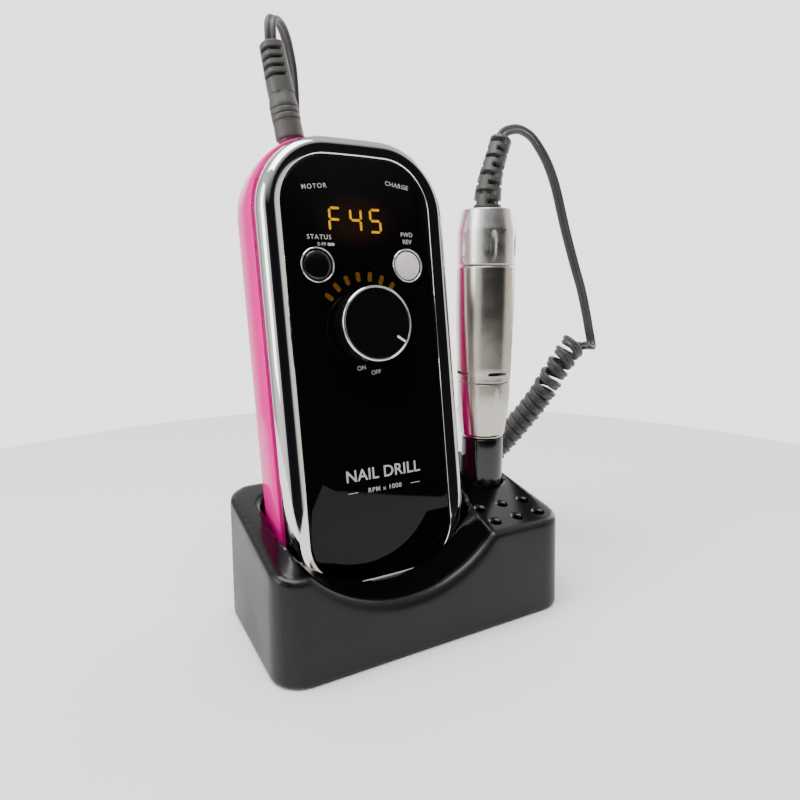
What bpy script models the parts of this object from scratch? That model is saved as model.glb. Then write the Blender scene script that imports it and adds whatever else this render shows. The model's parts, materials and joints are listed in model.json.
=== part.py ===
"""Electric nail drill: a rechargeable control box and a handpiece, both standing in one desk cradle.

Metres, +Z up. The origin is the centre of the cradle's underside, +X runs along the cradle's front
edge towards the handpiece, and +Y points to its back. The control box leans back in its pocket; it is
modelled in a tilted frame whose origin is the speed knob's centre on the front panel, with x across
the panel, y up it and z out of it. The handpiece stands nose down in a vertical socket.
"""
import math

import bmesh
import bpy
from mathutils import Matrix, Vector

MM = 0.001
GAP = 0.3 * MM                     # clearance between pieces that touch

# --- cradle ---------------------------------------------------------------------------------------
STAND_W = 133.0 * MM
STAND_D = 75.0 * MM
STAND_FRONT_H = 40.8 * MM          # height of the top at its front edge
STAND_SLOPE = 0.2                  # rise of the top per metre of depth
STAND_CORNER_R = 12.4 * MM
STAND_DRAFT = 1.3 * MM             # how far the walls lean in by the top
STAND_EDGE = 1.6 * MM              # rounding of the top edge
STAND_FOOT_Z = 0.5 * MM            # the moulding hangs just clear of the table
RECESS_Z = 4.0 * MM                # roof of the underside recess
RECESS_WALL = 3.0 * MM
PLATE_Z = (1.2 * MM, 3.7 * MM)
PAD_THICK = 0.9 * MM
SCREW_XY = (56.0 * MM, 27.0 * MM)
SCOOP_X = -12.7 * MM               # the round scoop through the front wall
SCOOP_R = 52.0 * MM
SCOOP_Z = 75.7 * MM
SCOOP_BACK_Y = 2.0 * MM
BIT_HOLE_X = (32.6 * MM, 44.3 * MM, 56.0 * MM)
BIT_HOLE_Y = (-17.6 * MM, -28.4 * MM)
BIT_HOLE_R = 2.25 * MM
BIT_HOLE_BOTTOM = 20.0 * MM

# --- handpiece and its socket ---------------------------------------------------------------------
HAND_X = 50.7 * MM
HAND_Y = 7.1 * MM
SOCKET_R = 9.75 * MM
SOCKET_BORE_R = 7.9 * MM
SOCKET_Z = (22.3 * MM, 70.3 * MM)
SLEEVE_Z = (70.6 * MM, 96.6 * MM)
BARREL_Z = (97.0 * MM, 148.8 * MM)
CAP_Z = (149.2 * MM, 173.2 * MM)
BARREL_R = 13.1 * MM
TIP_R = 7.2 * MM
TIP_BOTTOM = 48.0 * MM
HAND_RELIEF_ROUTE = ((50.7, 7.1, 171.2), (50.9, 7.1, 178.8), (52.2, 7.3, 186.5), (54.3, 7.6, 192.9),
                     (58.6, 8.4, 203.9))

# --- control box ----------------------------------------------------------------------------------
KNOB_POS = Vector((-11.46, 1.43, 125.0)) * MM
BOX_LEAN = math.radians(8.68)
PANEL = dict(half_w=31.9 * MM, top=65.4 * MM, bottom=-101.5 * MM, r_top=19.0 * MM, r_bottom=17.0 * MM)
BEZEL = dict(half_w=40.5 * MM, top=73.7 * MM, bottom=-110.0 * MM, r_top=29.0 * MM, r_bottom=26.0 * MM)
CROWN = 1.0 * MM                   # how far the middle of the top and bottom edges bulges
PANEL_THICK = 2.0 * MM
BEZEL_BACK = -9.0 * MM
SHELL_FRONT = -9.3 * MM
SHELL_BACK = -34.0 * MM
SHELL_WALL = 2.2 * MM
SHELL_BULGE = 1.7 * MM             # how far the rear shell stands out past the bezel
SHELL_BACK_R = 10.0 * MM
POCKET_CLEARANCE = 0.8 * MM
BOARD_Z = (-10.8 * MM, -9.2 * MM)
BOSS_XY = ((-25.0 * MM, 55.0 * MM), (25.0 * MM, 55.0 * MM), (-25.0 * MM, -85.0 * MM), (25.0 * MM, -85.0 * MM))
CELL_R = 9.1 * MM
CELL_LENGTH = 65.0 * MM

# --- controls -------------------------------------------------------------------------------------
KNOB_R = 14.9 * MM
KNOB_FACE = 9.5 * MM
SHAFT_R = 3.0 * MM
POINTER_ANGLE = math.radians(-34.0)
BUTTON_POS = {"status": (-19.5 * MM, 24.0 * MM), "direction": (20.2 * MM, 24.0 * MM)}
BUTTON_R = 5.9 * MM
RING_R = (6.2 * MM, 7.0 * MM)
DISPLAY_POS = (-1.7 * MM, 41.6 * MM)
DISPLAY_SIZE = (32.0 * MM, 15.0 * MM, 5.0 * MM)
LED_COUNT = 8
LED_RADIUS = 19.6 * MM
LED_FIRST = math.radians(142.0)
LED_STEP = math.radians(-15.0)
LED_SIZE = (2.0 * MM, 4.5 * MM, 2.4 * MM)

# --- sockets, plug and cord -----------------------------------------------------------------------
JACK_POS = (-19.6 * MM, 76.0 * MM, -17.0 * MM)
JACK_TILT = math.radians(7.0)
CHARGE_POS = (17.0 * MM, 74.9 * MM, -17.0 * MM)
CHARGE_TILT = math.radians(-10.0)
PLUG_R = 5.6 * MM
PLUG_TOP = 18.6 * MM
PLUG_RELIEF_TOP = 38.0 * MM
CORD_R = 2.4 * MM                  # half the flat cord's width
COIL_R = 6.6 * MM
CORD_STEP = 11.5 * MM
CORD_END = 2.0 * MM                # a short first and last stretch squares the cord's ends
HAND_LEAD_ROUTE = ((58.75, 8.43, 204.3), (59.5, 8.58, 206.0), (63.4, 9.2, 208.0), (70.2, 10.4, 209.2),
                   (77.9, 11.8, 207.5), (84.2, 13.0, 203.4), (89.9, 14.0, 198.1), (94.8, 14.8, 191.5),
                   (98.9, 15.4, 184.0), (105.8, 16.0, 167.5), (113.3, 16.0, 150.0), (118.7, 16.0, 138.2),
                   (123.5, 16.0, 124.9), (125.6, 16.0, 118.0), (126.9, 16.0, 111.5), (125.9, 16.0, 107.0))
COIL_ROUTE = ((117.3, 15.5, 112.1), (113.1, 16.0, 106.9), (109.3, 17.2, 101.5), (106.4, 19.0, 95.8),
              (104.3, 21.6, 89.4), (102.8, 25.0, 82.8), (101.0, 28.5, 77.0), (98.8, 32.2, 70.8),
              (96.4, 36.0, 64.8), (93.4, 40.0, 58.0), (89.0, 44.5, 50.0), (82.5, 49.2, 40.6),
              (73.5, 53.2, 30.6), (62.0, 56.0, 21.4), (49.0, 57.3, 13.8), (35.0, 57.8, 8.9),
              (20.0, 57.8, 7.2), (0.0, 57.4, 6.9), (-20.0, 57.0, 6.9))
BOX_LEAD_ROUTE = ((-35.75, 35.45, 235.2), (-35.7, 35.7, 239.3), (-35.1, 36.8, 243.2), (-33.1, 39.4, 245.9),
                  (-29.6, 43.0, 246.3), (-26.4, 46.4, 244.2), (-23.8, 49.5, 240.0), (-21.0, 52.8, 231.0),
                  (-19.8, 55.2, 215.0), (-20.5, 56.8, 190.0), (-24.0, 58.5, 150.0), (-29.5, 60.5, 105.0),
                  (-36.0, 62.5, 62.0), (-41.0, 63.0, 33.0), (-43.0, 62.5, 18.0), (-40.0, 60.8, 9.5),
                  (-34.0, 58.9, 6.4), (-27.5, 57.6, 6.6), (-20.9, 57.0, 6.9))

# --- mesh fineness --------------------------------------------------------------------------------
CORNER_STEPS = 5
ROUND_STEPS = 20
SMALL_STEPS = 10

FINISHES = {
    "gloss_black_abs": ((0.020, 0.020, 0.022), 0.28, 0.0),
    "black_rubber": ((0.030, 0.030, 0.030), 0.85, 0.0),
    "zinc_steel": ((0.60, 0.60, 0.58), 0.35, 1.0),
    "pink_abs": ((0.90, 0.03, 0.30), 0.15, 0.0),
    "chrome_plate": ((0.80, 0.80, 0.80), 0.06, 1.0),
    "black_acrylic": ((0.006, 0.006, 0.008), 0.05, 0.0),
    "green_laminate": ((0.02, 0.14, 0.05), 0.45, 0.0),
    "amber_led": ((0.95, 0.42, 0.03), 0.30, 0.0),
    "battery_wrap": ((0.05, 0.20, 0.50), 0.40, 0.0),
    "white_inlay": ((0.85, 0.85, 0.84), 0.40, 0.0),
    "satin_aluminium": ((0.72, 0.72, 0.72), 0.32, 1.0),
    "grey_vinyl": ((0.16, 0.16, 0.165), 0.55, 0.0),
    "nickel_plate": ((0.70, 0.68, 0.64), 0.20, 1.0),
}


# --- scene and small helpers ----------------------------------------------------------------------
def clear_scene():
    for obj in list(bpy.data.objects):
        bpy.data.objects.remove(obj, do_unlink=True)


def new_collection(name):
    collection = bpy.data.collections.new(name)
    bpy.context.scene.collection.children.link(collection)
    return collection


def material(name):
    """The named finish as a Principled material, made once."""
    found = bpy.data.materials.get(name)
    if found:
        return found
    colour, roughness, metallic = FINISHES[name]
    made = bpy.data.materials.new(name)
    made.use_nodes = True
    shader = made.node_tree.nodes["Principled BSDF"]
    shader.inputs["Base Color"].default_value = (*colour, 1.0)
    shader.inputs["Roughness"].default_value = roughness
    shader.inputs["Metallic"].default_value = metallic
    return made


def add_object(name, data, finish, parent=None, matrix=None, smooth=True):
    """Link an object to the part's collection, under its parent, in the parent's frame."""
    obj = bpy.data.objects.new(name, data)
    PARTS.objects.link(obj)
    obj.parent = parent
    obj.matrix_local = matrix or Matrix.Identity(4)
    if finish:
        data.materials.append(material(finish))
    if smooth and isinstance(data, bpy.types.Mesh):
        data.shade_smooth()
        data.set_sharp_from_angle(angle=math.radians(35))
    return obj


def add_frame(name, matrix, parent=None):
    """An empty that carries the pieces of one moving body or one tilted group."""
    frame = bpy.data.objects.new(name, None)
    PARTS.objects.link(frame)
    frame.parent = parent
    frame.matrix_local = matrix
    return frame


def mesh_from(bm, name):
    mesh = bpy.data.meshes.new(name)
    bm.to_mesh(mesh)
    bm.free()
    return mesh


def as_cutter(obj):
    """Keep a cutting shape out of the part itself."""
    PARTS.objects.unlink(obj)
    CUTTERS.objects.link(obj)
    obj.hide_render = True
    obj.display_type = "WIRE"
    return obj


def boolean(target, tool, operation):
    modifier = target.modifiers.new(tool.name, "BOOLEAN")
    modifier.operation = operation
    modifier.solver = "EXACT"
    modifier.object = as_cutter(tool)


def cut(target, tool):
    boolean(target, tool, "DIFFERENCE")


def join(target, tool):
    boolean(target, tool, "UNION")


# --- shape makers ---------------------------------------------------------------------------------
def loft(name, loops, finish, parent=None, matrix=None, smooth=True):
    """A closed body through loops of equal point count, capped at both ends."""
    bm = bmesh.new()
    rings = [[bm.verts.new(point) for point in loop] for loop in loops]
    count = len(rings[0])
    for lower, upper in zip(rings, rings[1:]):
        for i in range(count):
            j = (i + 1) % count
            bm.faces.new((lower[i], lower[j], upper[j], upper[i]))
    bm.faces.new(rings[0])
    bm.faces.new(rings[-1])
    bmesh.ops.recalc_face_normals(bm, faces=bm.faces[:])
    return add_object(name, mesh_from(bm, name), finish, parent, matrix, smooth)


def turned(name, profile, finish, parent=None, matrix=None, steps=ROUND_STEPS, ring=False):
    """A turned body about its own z: the profile's outer side runs from top to bottom."""
    bm = bmesh.new()
    points = [bm.verts.new((radius, 0.0, z)) for radius, z in profile]
    for a, b in zip(points, points[1:]):
        bm.edges.new((a, b))
    if ring:
        bm.edges.new((points[-1], points[0]))
    obj = add_object(name, mesh_from(bm, name), finish, parent, matrix, smooth=False)
    screw = obj.modifiers.new("turn", "SCREW")
    screw.axis = "Z"
    screw.angle = math.tau
    screw.steps = steps
    screw.render_steps = steps
    screw.use_merge_vertices = True
    screw.merge_threshold = 0.00002
    screw.use_smooth_shade = True
    return obj


def block(name, size, centre, finish, parent=None, turn=0.0):
    """A rectangular block, turned about its own z."""
    bm = bmesh.new()
    bmesh.ops.create_cube(bm, size=1.0, matrix=Matrix.Diagonal((*size, 1.0)))
    matrix = Matrix.Translation(centre) @ Matrix.Rotation(turn, 4, "Z")
    return add_object(name, mesh_from(bm, name), finish, parent, matrix, smooth=False)


def rod(name, radius, low, high, xy, finish, parent=None, steps=SMALL_STEPS):
    """A plain cylinder along z between two heights."""
    bm = bmesh.new()
    bmesh.ops.create_cone(bm, cap_ends=True, segments=steps, radius1=radius, radius2=radius,
                          depth=high - low)
    matrix = Matrix.Translation((*xy, (low + high) / 2))
    return add_object(name, mesh_from(bm, name), finish, parent, matrix)


def smooth_route(route, step):
    """Points along a Catmull-Rom curve through the route, even but for one short stretch at each end."""
    knots = [Vector(point) * MM for point in route]
    knots = [2 * knots[0] - knots[1]] + knots + [2 * knots[-1] - knots[-2]]
    fine = []
    for a, b, c, d in zip(knots, knots[1:], knots[2:], knots[3:]):
        for i in range(24):
            t = i / 24
            fine.append(0.5 * (2 * b + (c - a) * t + (2 * a - 5 * b + 4 * c - d) * t * t
                               + (3 * b - a - 3 * c + d) * t ** 3))
    fine.append(knots[-2])
    lengths = [0.0]
    for a, b in zip(fine, fine[1:]):
        lengths.append(lengths[-1] + (b - a).length)
    whole = lengths[-1]
    count = max(2, round(whole / step))
    marks = [0.0, CORD_END] + [whole * k / count for k in range(1, count)] + [whole - CORD_END, whole]
    points = []
    for want in marks:
        i = next((j for j in range(1, len(fine)) if lengths[j] >= want - 1e-9), len(fine) - 1)
        share = (want - lengths[i - 1]) / max(lengths[i] - lengths[i - 1], 1e-9)
        points.append(fine[i - 1].lerp(fine[i], share))
    return points


def tube(name, points, radius, finish, parent=None, end_radius=None, resolution=2):
    """A round cord along the points; the radius may change evenly to end_radius."""
    curve = bpy.data.curves.new(name, "CURVE")
    curve.dimensions = "3D"
    curve.bevel_depth = radius
    curve.bevel_resolution = resolution
    curve.use_fill_caps = True
    spline = curve.splines.new("POLY")
    spline.points.add(len(points) - 1)
    for i, point in enumerate(points):
        share = i / (len(points) - 1)
        spline.points[i].co = (*point, 1.0)
        spline.points[i].radius = 1.0 + share * ((end_radius or radius) / radius - 1.0)
    return add_object(name, curve, finish, parent)


def corner_arc(cx, cy, radius, start):
    """Points of one quarter corner, counter-clockwise from the start angle."""
    angles = [start + math.pi / 2 * k / CORNER_STEPS for k in range(CORNER_STEPS + 1)]
    return [(cx + radius * math.cos(a), cy + radius * math.sin(a)) for a in angles]


def rounded_rect(half_w, half_d, radius):
    x, y = half_w - radius, half_d - radius
    return (corner_arc(x, y, radius, 0.0) + corner_arc(-x, y, radius, math.pi / 2)
            + corner_arc(-x, -y, radius, math.pi) + corner_arc(x, -y, radius, 1.5 * math.pi))


def box_outline(shape, grow, z):
    """The control box's rounded outline, grown or shrunk all round, at depth z."""
    half_w = shape["half_w"] + grow
    r_top = shape["r_top"] + grow
    r_bottom = shape["r_bottom"] + grow
    x_top, y_top = half_w - r_top, shape["top"] + grow - r_top
    x_low, y_low = half_w - r_bottom, shape["bottom"] - grow + r_bottom
    bridge = [x_top * (1 - k / 2) for k in range(1, 4)]
    points = corner_arc(x_top, y_top, r_top, 0.0)
    points += [(x, y_top + r_top) for x in bridge]
    points += corner_arc(-x_top, y_top, r_top, math.pi / 2)
    points += corner_arc(-x_low, y_low, r_bottom, math.pi)
    points += [(-x * x_low / x_top, y_low - r_bottom) for x in bridge]
    points += corner_arc(x_low, y_low, r_bottom, 1.5 * math.pi)
    bulged = []
    for x, y in points:
        bulge = CROWN * (1 - (x / half_w) ** 2)
        bulged.append((x, y + (bulge if y > y_top else -bulge if y < y_low else 0.0), z))
    return bulged


def shell_sections(offset):
    """Rear shell outline grows at each depth, front to back, moved in or out by the offset."""
    sections = [(SHELL_FRONT, 0.5 * MM), (-12.5 * MM, SHELL_BULGE * 0.85), (-18.0 * MM, SHELL_BULGE)]
    sections = [(z, grow + offset) for z, grow in sections]
    reach = SHELL_BACK_R + offset
    start = SHELL_BACK + SHELL_BACK_R
    for k in range(6):
        angle = math.radians(90) * k / 5
        grow = SHELL_BULGE - 0.4 * MM - SHELL_BACK_R + reach * math.cos(angle)
        sections.append((start - reach * math.sin(angle), grow))
    return sections


# --- cradle ---------------------------------------------------------------------------------------
def stand_top(y):
    return STAND_FRONT_H + (y + STAND_D / 2) * STAND_SLOPE


def stand_loop(inset, below_top=None, z=None):
    outline = rounded_rect(STAND_W / 2 - inset, STAND_D / 2 - inset, STAND_CORNER_R - inset)
    return [(x, y, stand_top(y) - below_top if z is None else z) for x, y in outline]


def make_pocket(box_frame):
    """The space that the control box drops into, open at the top."""
    tall = dict(BEZEL, top=-40.0 * MM)
    sections = [(2.0 * MM, 0.0), (-7.0 * MM, 0.0), (-12.5 * MM, SHELL_BULGE), (-24.0 * MM, SHELL_BULGE)]
    reach = SHELL_BACK_R + POCKET_CLEARANCE
    loops = [box_outline(tall, grow + POCKET_CLEARANCE, z) for z, grow in sections]
    for k in range(1, 6):
        angle = math.radians(90) * k / 5
        grow = SHELL_BULGE - SHELL_BACK_R + reach * math.cos(angle)
        loops.append(box_outline(tall, grow, -24.0 * MM - reach * math.sin(angle)))
    return loft("pocket_cutter", loops, None, box_frame)


def make_scoop():
    bm = bmesh.new()
    depth = SCOOP_BACK_Y + STAND_D
    bmesh.ops.create_cone(bm, cap_ends=True, segments=72, radius1=SCOOP_R, radius2=SCOOP_R, depth=depth)
    matrix = (Matrix.Translation((SCOOP_X, SCOOP_BACK_Y - depth / 2, SCOOP_Z))
              @ Matrix.Rotation(math.pi / 2, 4, "X"))
    return add_object("scoop_cutter", mesh_from(bm, "scoop_cutter"), None, None, matrix)


def make_stand(box_frame):
    recess = STAND_W / 2 - RECESS_WALL, STAND_D / 2 - RECESS_WALL, STAND_CORNER_R - RECESS_WALL
    roof = [(x, y, RECESS_Z) for x, y in rounded_rect(*recess)]
    mouth = [(x, y, STAND_FOOT_Z) for x, y in rounded_rect(*recess)]
    loops = [roof, mouth, stand_loop(0.0, z=STAND_FOOT_Z), stand_loop(STAND_DRAFT, STAND_EDGE)]
    loops.append(stand_loop(STAND_DRAFT + STAND_EDGE * 0.3, STAND_EDGE * 0.3))
    loops.append(stand_loop(STAND_DRAFT + STAND_EDGE, 0.0))
    shell = loft("stand_shell", loops, "gloss_black_abs")
    cut(shell, make_pocket(box_frame))
    cut(shell, make_scoop())
    cut(shell, rod("socket_bore_cutter", SOCKET_R + GAP, SOCKET_Z[0] - GAP, 80 * MM, (HAND_X, HAND_Y), None,
                   steps=ROUND_STEPS))
    for row, y in enumerate(BIT_HOLE_Y):
        for column, x in enumerate(BIT_HOLE_X):
            name = f"bit_hole_cutter_{row}{column}"
            cut(shell, rod(name, BIT_HOLE_R, BIT_HOLE_BOTTOM, 60 * MM, (x, y), None))
    low = RECESS_Z - 0.1 * MM
    hollows = (("middle", (-50, 50), (-33, 33), 7.5), ("side", (37, 49.5), (-31, 31), 16.5),
               ("front", (-48, 22), (-32.5, -21), 19.0))
    for name, (x0, x1), (y0, y1), top in hollows:
        size = ((x1 - x0) * MM, (y1 - y0) * MM, top * MM - low)
        centre = ((x0 + x1) / 2 * MM, (y0 + y1) / 2 * MM, (low + top * MM) / 2)
        cut(shell, block(f"hollow_cutter_{name}", size, centre, None))
    for i, xy in enumerate(stand_screw_places()):
        cut(shell, rod(f"stand_pilot_cutter_{i}", 1.7 * MM, low, 10.0 * MM, xy, None))
    return shell


def stand_screw_places():
    x, y = SCREW_XY
    return [(sx * x, sy * y) for sx in (-1, 1) for sy in (-1, 1)]


def make_base():
    inset = RECESS_WALL + GAP
    outline = rounded_rect(STAND_W / 2 - inset, STAND_D / 2 - inset, STAND_CORNER_R - inset)
    plate = loft("stand_base_plate", [[(x, y, z) for x, y in outline] for z in PLATE_Z], "zinc_steel")
    for i, xy in enumerate(stand_screw_places()):
        cut(plate, rod(f"plate_hole_cutter_{i}", 1.8 * MM, 0.5 * MM, 5 * MM, xy, None))
        cut(plate, rod(f"plate_sink_cutter_{i}", 3.5 * MM, 0.5 * MM, 2.6 * MM, xy, None))
    inset += 0.8 * MM
    outline = rounded_rect(STAND_W / 2 - inset, STAND_D / 2 - inset, STAND_CORNER_R - inset)
    loft("stand_rubber_pad", [[(x, y, z) for x, y in outline] for z in (0.0, PAD_THICK)], "black_rubber")


def make_screws(name, places, head, head_r, shank_r, tip, parent=None):
    """Machine screws along z, one object each, the head at the lower end."""
    profile = [(0, tip), (shank_r, tip), (shank_r, head[1]), (head_r, head[1]), (head_r, head[0]), (0, head[0])]
    for i, (x, y) in enumerate(places, 1):
        turned(f"{name}_{i}", profile, "zinc_steel", parent, Matrix.Translation((x, y, 0)), 12)


def make_socket():
    low, high = SOCKET_Z
    floor = low + 2.2 * MM
    lip = 0.5 * MM
    profile = [(0.0, floor), (SOCKET_BORE_R, floor), (SOCKET_BORE_R, high - lip), (SOCKET_BORE_R + lip, high),
               (SOCKET_R - lip, high), (SOCKET_R, high - lip), (SOCKET_R, low), (0.0, low)]
    turned("handpiece_socket", profile, "gloss_black_abs", matrix=Matrix.Translation((HAND_X, HAND_Y, 0)))


# --- control box ----------------------------------------------------------------------------------
def make_front_housing(box_frame):
    """Plated housing: a rounded band round the panel and a plate behind it."""
    seat = GAP

    def blend(share, z):
        shape = {key: PANEL[key] + (BEZEL[key] - PANEL[key]) * share for key in PANEL}
        return box_outline(shape, 0.0, z)

    back = -4.3 * MM
    loops = [box_outline(BEZEL, -2.4 * MM, back), box_outline(BEZEL, -2.4 * MM, BEZEL_BACK),
             box_outline(BEZEL, 0.0, BEZEL_BACK)]
    profile = ((1.0, -4.2), (0.96, -1.7), (0.86, -0.1), (0.70, 0.8), (0.40, 1.0), (0.16, 0.7), (0.07, 0.2))
    loops += [blend(share, z * MM) for share, z in profile]
    loops.append(box_outline(PANEL, seat, -0.4 * MM))
    loops.append(box_outline(PANEL, seat, -PANEL_THICK - GAP))
    housing = loft("chrome_front_housing", loops, "chrome_plate", box_frame)
    cut(housing, rod("knob_hole_cutter", 4.4 * MM, -6 * MM, 0.0, (0, 0), None, box_frame, ROUND_STEPS))
    for name, xy in BUTTON_POS.items():
        hole = rod(f"{name}_hole_cutter", RING_R[1] + GAP, -6 * MM, 0.0, xy, None, box_frame, ROUND_STEPS)
        cut(housing, hole)
    window = (DISPLAY_SIZE[0] + 1.2 * MM, DISPLAY_SIZE[1] + 1.2 * MM, 6 * MM)
    cut(housing, block("window_cutter", window, (*DISPLAY_POS, -3.5 * MM), None, box_frame))
    slot = (LED_SIZE[0] + 0.8 * MM, LED_SIZE[1] + 0.8 * MM, 6 * MM)
    for i, (xy, turn) in enumerate(led_places()):
        cut(housing, block(f"led_slot_cutter_{i}", slot, (*xy, -3.5 * MM), None, box_frame, turn))
    for i, xy in enumerate(BOSS_XY):
        join(housing, rod(f"front_boss_{i}", 3.2 * MM, -9.6 * MM, back + 0.3 * MM, xy, None, box_frame))
        cut(housing, rod(f"front_pilot_cutter_{i}", 1.5 * MM, -11 * MM, -5.6 * MM, xy, None, box_frame))


def make_panel(box_frame):
    chamfer = 0.3 * MM
    loops = [box_outline(PANEL, 0.0, -PANEL_THICK), box_outline(PANEL, 0.0, -chamfer),
             box_outline(PANEL, -chamfer, 0.0)]
    panel = loft("front_panel", loops, "black_acrylic", box_frame)
    cut(panel, rod("panel_knob_cutter", 4.4 * MM, -6 * MM, 3 * MM, (0, 0), None, box_frame, ROUND_STEPS))
    for name, xy in BUTTON_POS.items():
        tool = rod(f"panel_{name}_cutter", RING_R[1] + GAP, -6 * MM, 3 * MM, xy, None, box_frame, ROUND_STEPS)
        cut(panel, tool)


def make_rear_shell(box_frame):
    outer = [box_outline(BEZEL, grow, z) for z, grow in shell_sections(0.0)]
    inner = [box_outline(BEZEL, grow, z) for z, grow in shell_sections(-SHELL_WALL)]
    loops = outer[::-1] + inner
    shell = loft("rear_shell", loops, "pink_abs", box_frame)
    for i, xy in enumerate(BOSS_XY):
        join(shell, rod(f"rear_boss_{i}", 3.7 * MM, SHELL_BACK + 1 * MM, -10.1 * MM, xy, None, box_frame, 20))
        cut(shell, rod(f"rear_bore_cutter_{i}", 1.6 * MM, SHELL_BACK - 2 * MM, -8 * MM, xy, None, box_frame))
        cut(shell, rod(f"rear_sink_cutter_{i}", 2.9 * MM, SHELL_BACK - 2 * MM, -29 * MM, xy, None, box_frame))
    for name, place, tilt, radius in (("handpiece", JACK_POS, JACK_TILT, 4.8 * MM),
                                      ("charge", CHARGE_POS, CHARGE_TILT, 5.0 * MM)):
        tool = turned(f"{name}_port_cutter", [(0, 4 * MM), (radius + GAP, 4 * MM), (radius + GAP, -9 * MM),
                                              (0, -9 * MM)], None, box_frame, axis_frame(place, tilt))
        cut(shell, tool)


def axis_frame(place, tilt):
    """A frame whose z leaves the box's top edge, tilted towards -x of the panel."""
    return (Matrix.Translation(place) @ Matrix.Rotation(tilt, 4, "Z")
            @ Matrix.Rotation(-math.pi / 2, 4, "X"))


def led_places():
    places = []
    for i in range(LED_COUNT):
        angle = LED_FIRST + LED_STEP * i
        places.append(((LED_RADIUS * math.cos(angle), LED_RADIUS * math.sin(angle)), angle - math.pi / 2))
    return places


def make_light_guide(box_frame):
    """One clear moulding: an arched web with a bar standing up into each slot of the housing."""
    spread = abs(LED_STEP) * 0.35
    first, last = LED_FIRST + spread, LED_FIRST + LED_STEP * (LED_COUNT - 1) - spread
    angles = [first + (last - first) * k / 16 for k in range(17)]
    outline = [(22.4 * MM * math.cos(a), 22.4 * MM * math.sin(a)) for a in angles]
    outline += [(16.8 * MM * math.cos(a), 16.8 * MM * math.sin(a)) for a in reversed(angles)]
    web = loft("led_light_guide", [[(x, y, z) for x, y in outline] for z in (-6.0 * MM, -4.8 * MM)],
               "amber_led", box_frame)
    for i, (xy, turn) in enumerate(led_places()):
        join(web, block(f"led_bar_{i}", LED_SIZE, (*xy, -2.6 * MM - LED_SIZE[2] / 2), None, box_frame, turn))


def make_electronics(box_frame):
    half_w, low, high = 28.0 * MM, -78.0 * MM, 48.0 * MM
    outline = [(x, y + (low + high) / 2) for x, y in rounded_rect(half_w, (high - low) / 2, 3 * MM)]
    loft("main_board", [[(x, y, z) for x, y in outline] for z in BOARD_Z], "green_laminate", box_frame)
    top = -2.7 * MM
    centre = (*DISPLAY_POS, top - DISPLAY_SIZE[2] / 2)
    block("display_module", DISPLAY_SIZE, centre, "black_acrylic", box_frame)
    board = BOARD_Z[1] + GAP
    pot = [(4.0 * MM, -0.5 * MM), (4.0 * MM, -4.9 * MM), (8.0 * MM, -4.9 * MM), (8.0 * MM, board),
           (SHAFT_R + GAP, board), (SHAFT_R + GAP, -0.5 * MM)]
    turned("potentiometer_body", pot, "zinc_steel", box_frame, steps=20, ring=True)
    for name, (x, y) in BUTTON_POS.items():
        body = (6.0 * MM, 6.0 * MM, 3.4 * MM)
        block(f"{name}_switch", body, (x, y, board + body[2] / 2), "gloss_black_abs", box_frame)
    make_light_guide(box_frame)
    spacing = CELL_R + 0.4 * MM
    for side, x in (("left", -spacing), ("right", spacing)):
        place = Matrix.Translation((x, -47.0 * MM, -21.5 * MM)) @ Matrix.Rotation(math.pi / 2, 4, "X")
        half = CELL_LENGTH / 2
        cell = [(0, half + 0.8 * MM), (3.0 * MM, half + 0.8 * MM), (3.2 * MM, half), (CELL_R, half),
                (CELL_R, -half), (0, -half)]
        turned(f"battery_cell_{side}", cell, "battery_wrap", box_frame, place, 20)
    jack = [(0, -13 * MM), (1.95 * MM, -13 * MM), (1.95 * MM, -1.6 * MM), (4.8 * MM, -1.6 * MM),
            (4.8 * MM, -15 * MM), (0, -15 * MM)]
    turned("handpiece_jack", jack, "black_rubber", box_frame, axis_frame(JACK_POS, JACK_TILT), 20)
    inlet = [(0, -2.5 * MM), (0.8 * MM, -2.5 * MM), (0.8 * MM, -11 * MM), (2.8 * MM, -11 * MM),
             (2.8 * MM, -1.2 * MM), (5.0 * MM, -1.2 * MM), (5.0 * MM, -14 * MM), (0, -14 * MM)]
    turned("charge_jack", inlet, "black_rubber", box_frame, axis_frame(CHARGE_POS, CHARGE_TILT), 20)
    make_screws("shell_screw", BOSS_XY, (-32.0 * MM, -30.0 * MM), 2.5 * MM, 1.2 * MM, -6.5 * MM, box_frame)


def make_buttons(box_frame):
    for name, (x, y) in BUTTON_POS.items():
        inner, outer = RING_R
        place = Matrix.Translation((x, y, 0))
        ring = [(inner + 0.2 * MM, 0.7 * MM), (outer - 0.2 * MM, 0.7 * MM), (outer, 0.4 * MM),
                (outer, -4.0 * MM), (inner, -4.0 * MM), (inner, 0.4 * MM)]
        turned(f"{name}_button_ring", ring, "chrome_plate", box_frame, place, ring=True)
        frame = add_frame(f"{name}_button_frame", place, box_frame)
        cap = [(0, 1.1 * MM), (3.2 * MM, 1.05 * MM), (5.2 * MM, 0.8 * MM), (BUTTON_R, 0.3 * MM),
               (BUTTON_R, -4.2 * MM), (0, -4.2 * MM)]
        turned(f"{name}_button_cap", cap, "black_acrylic", frame)


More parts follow.
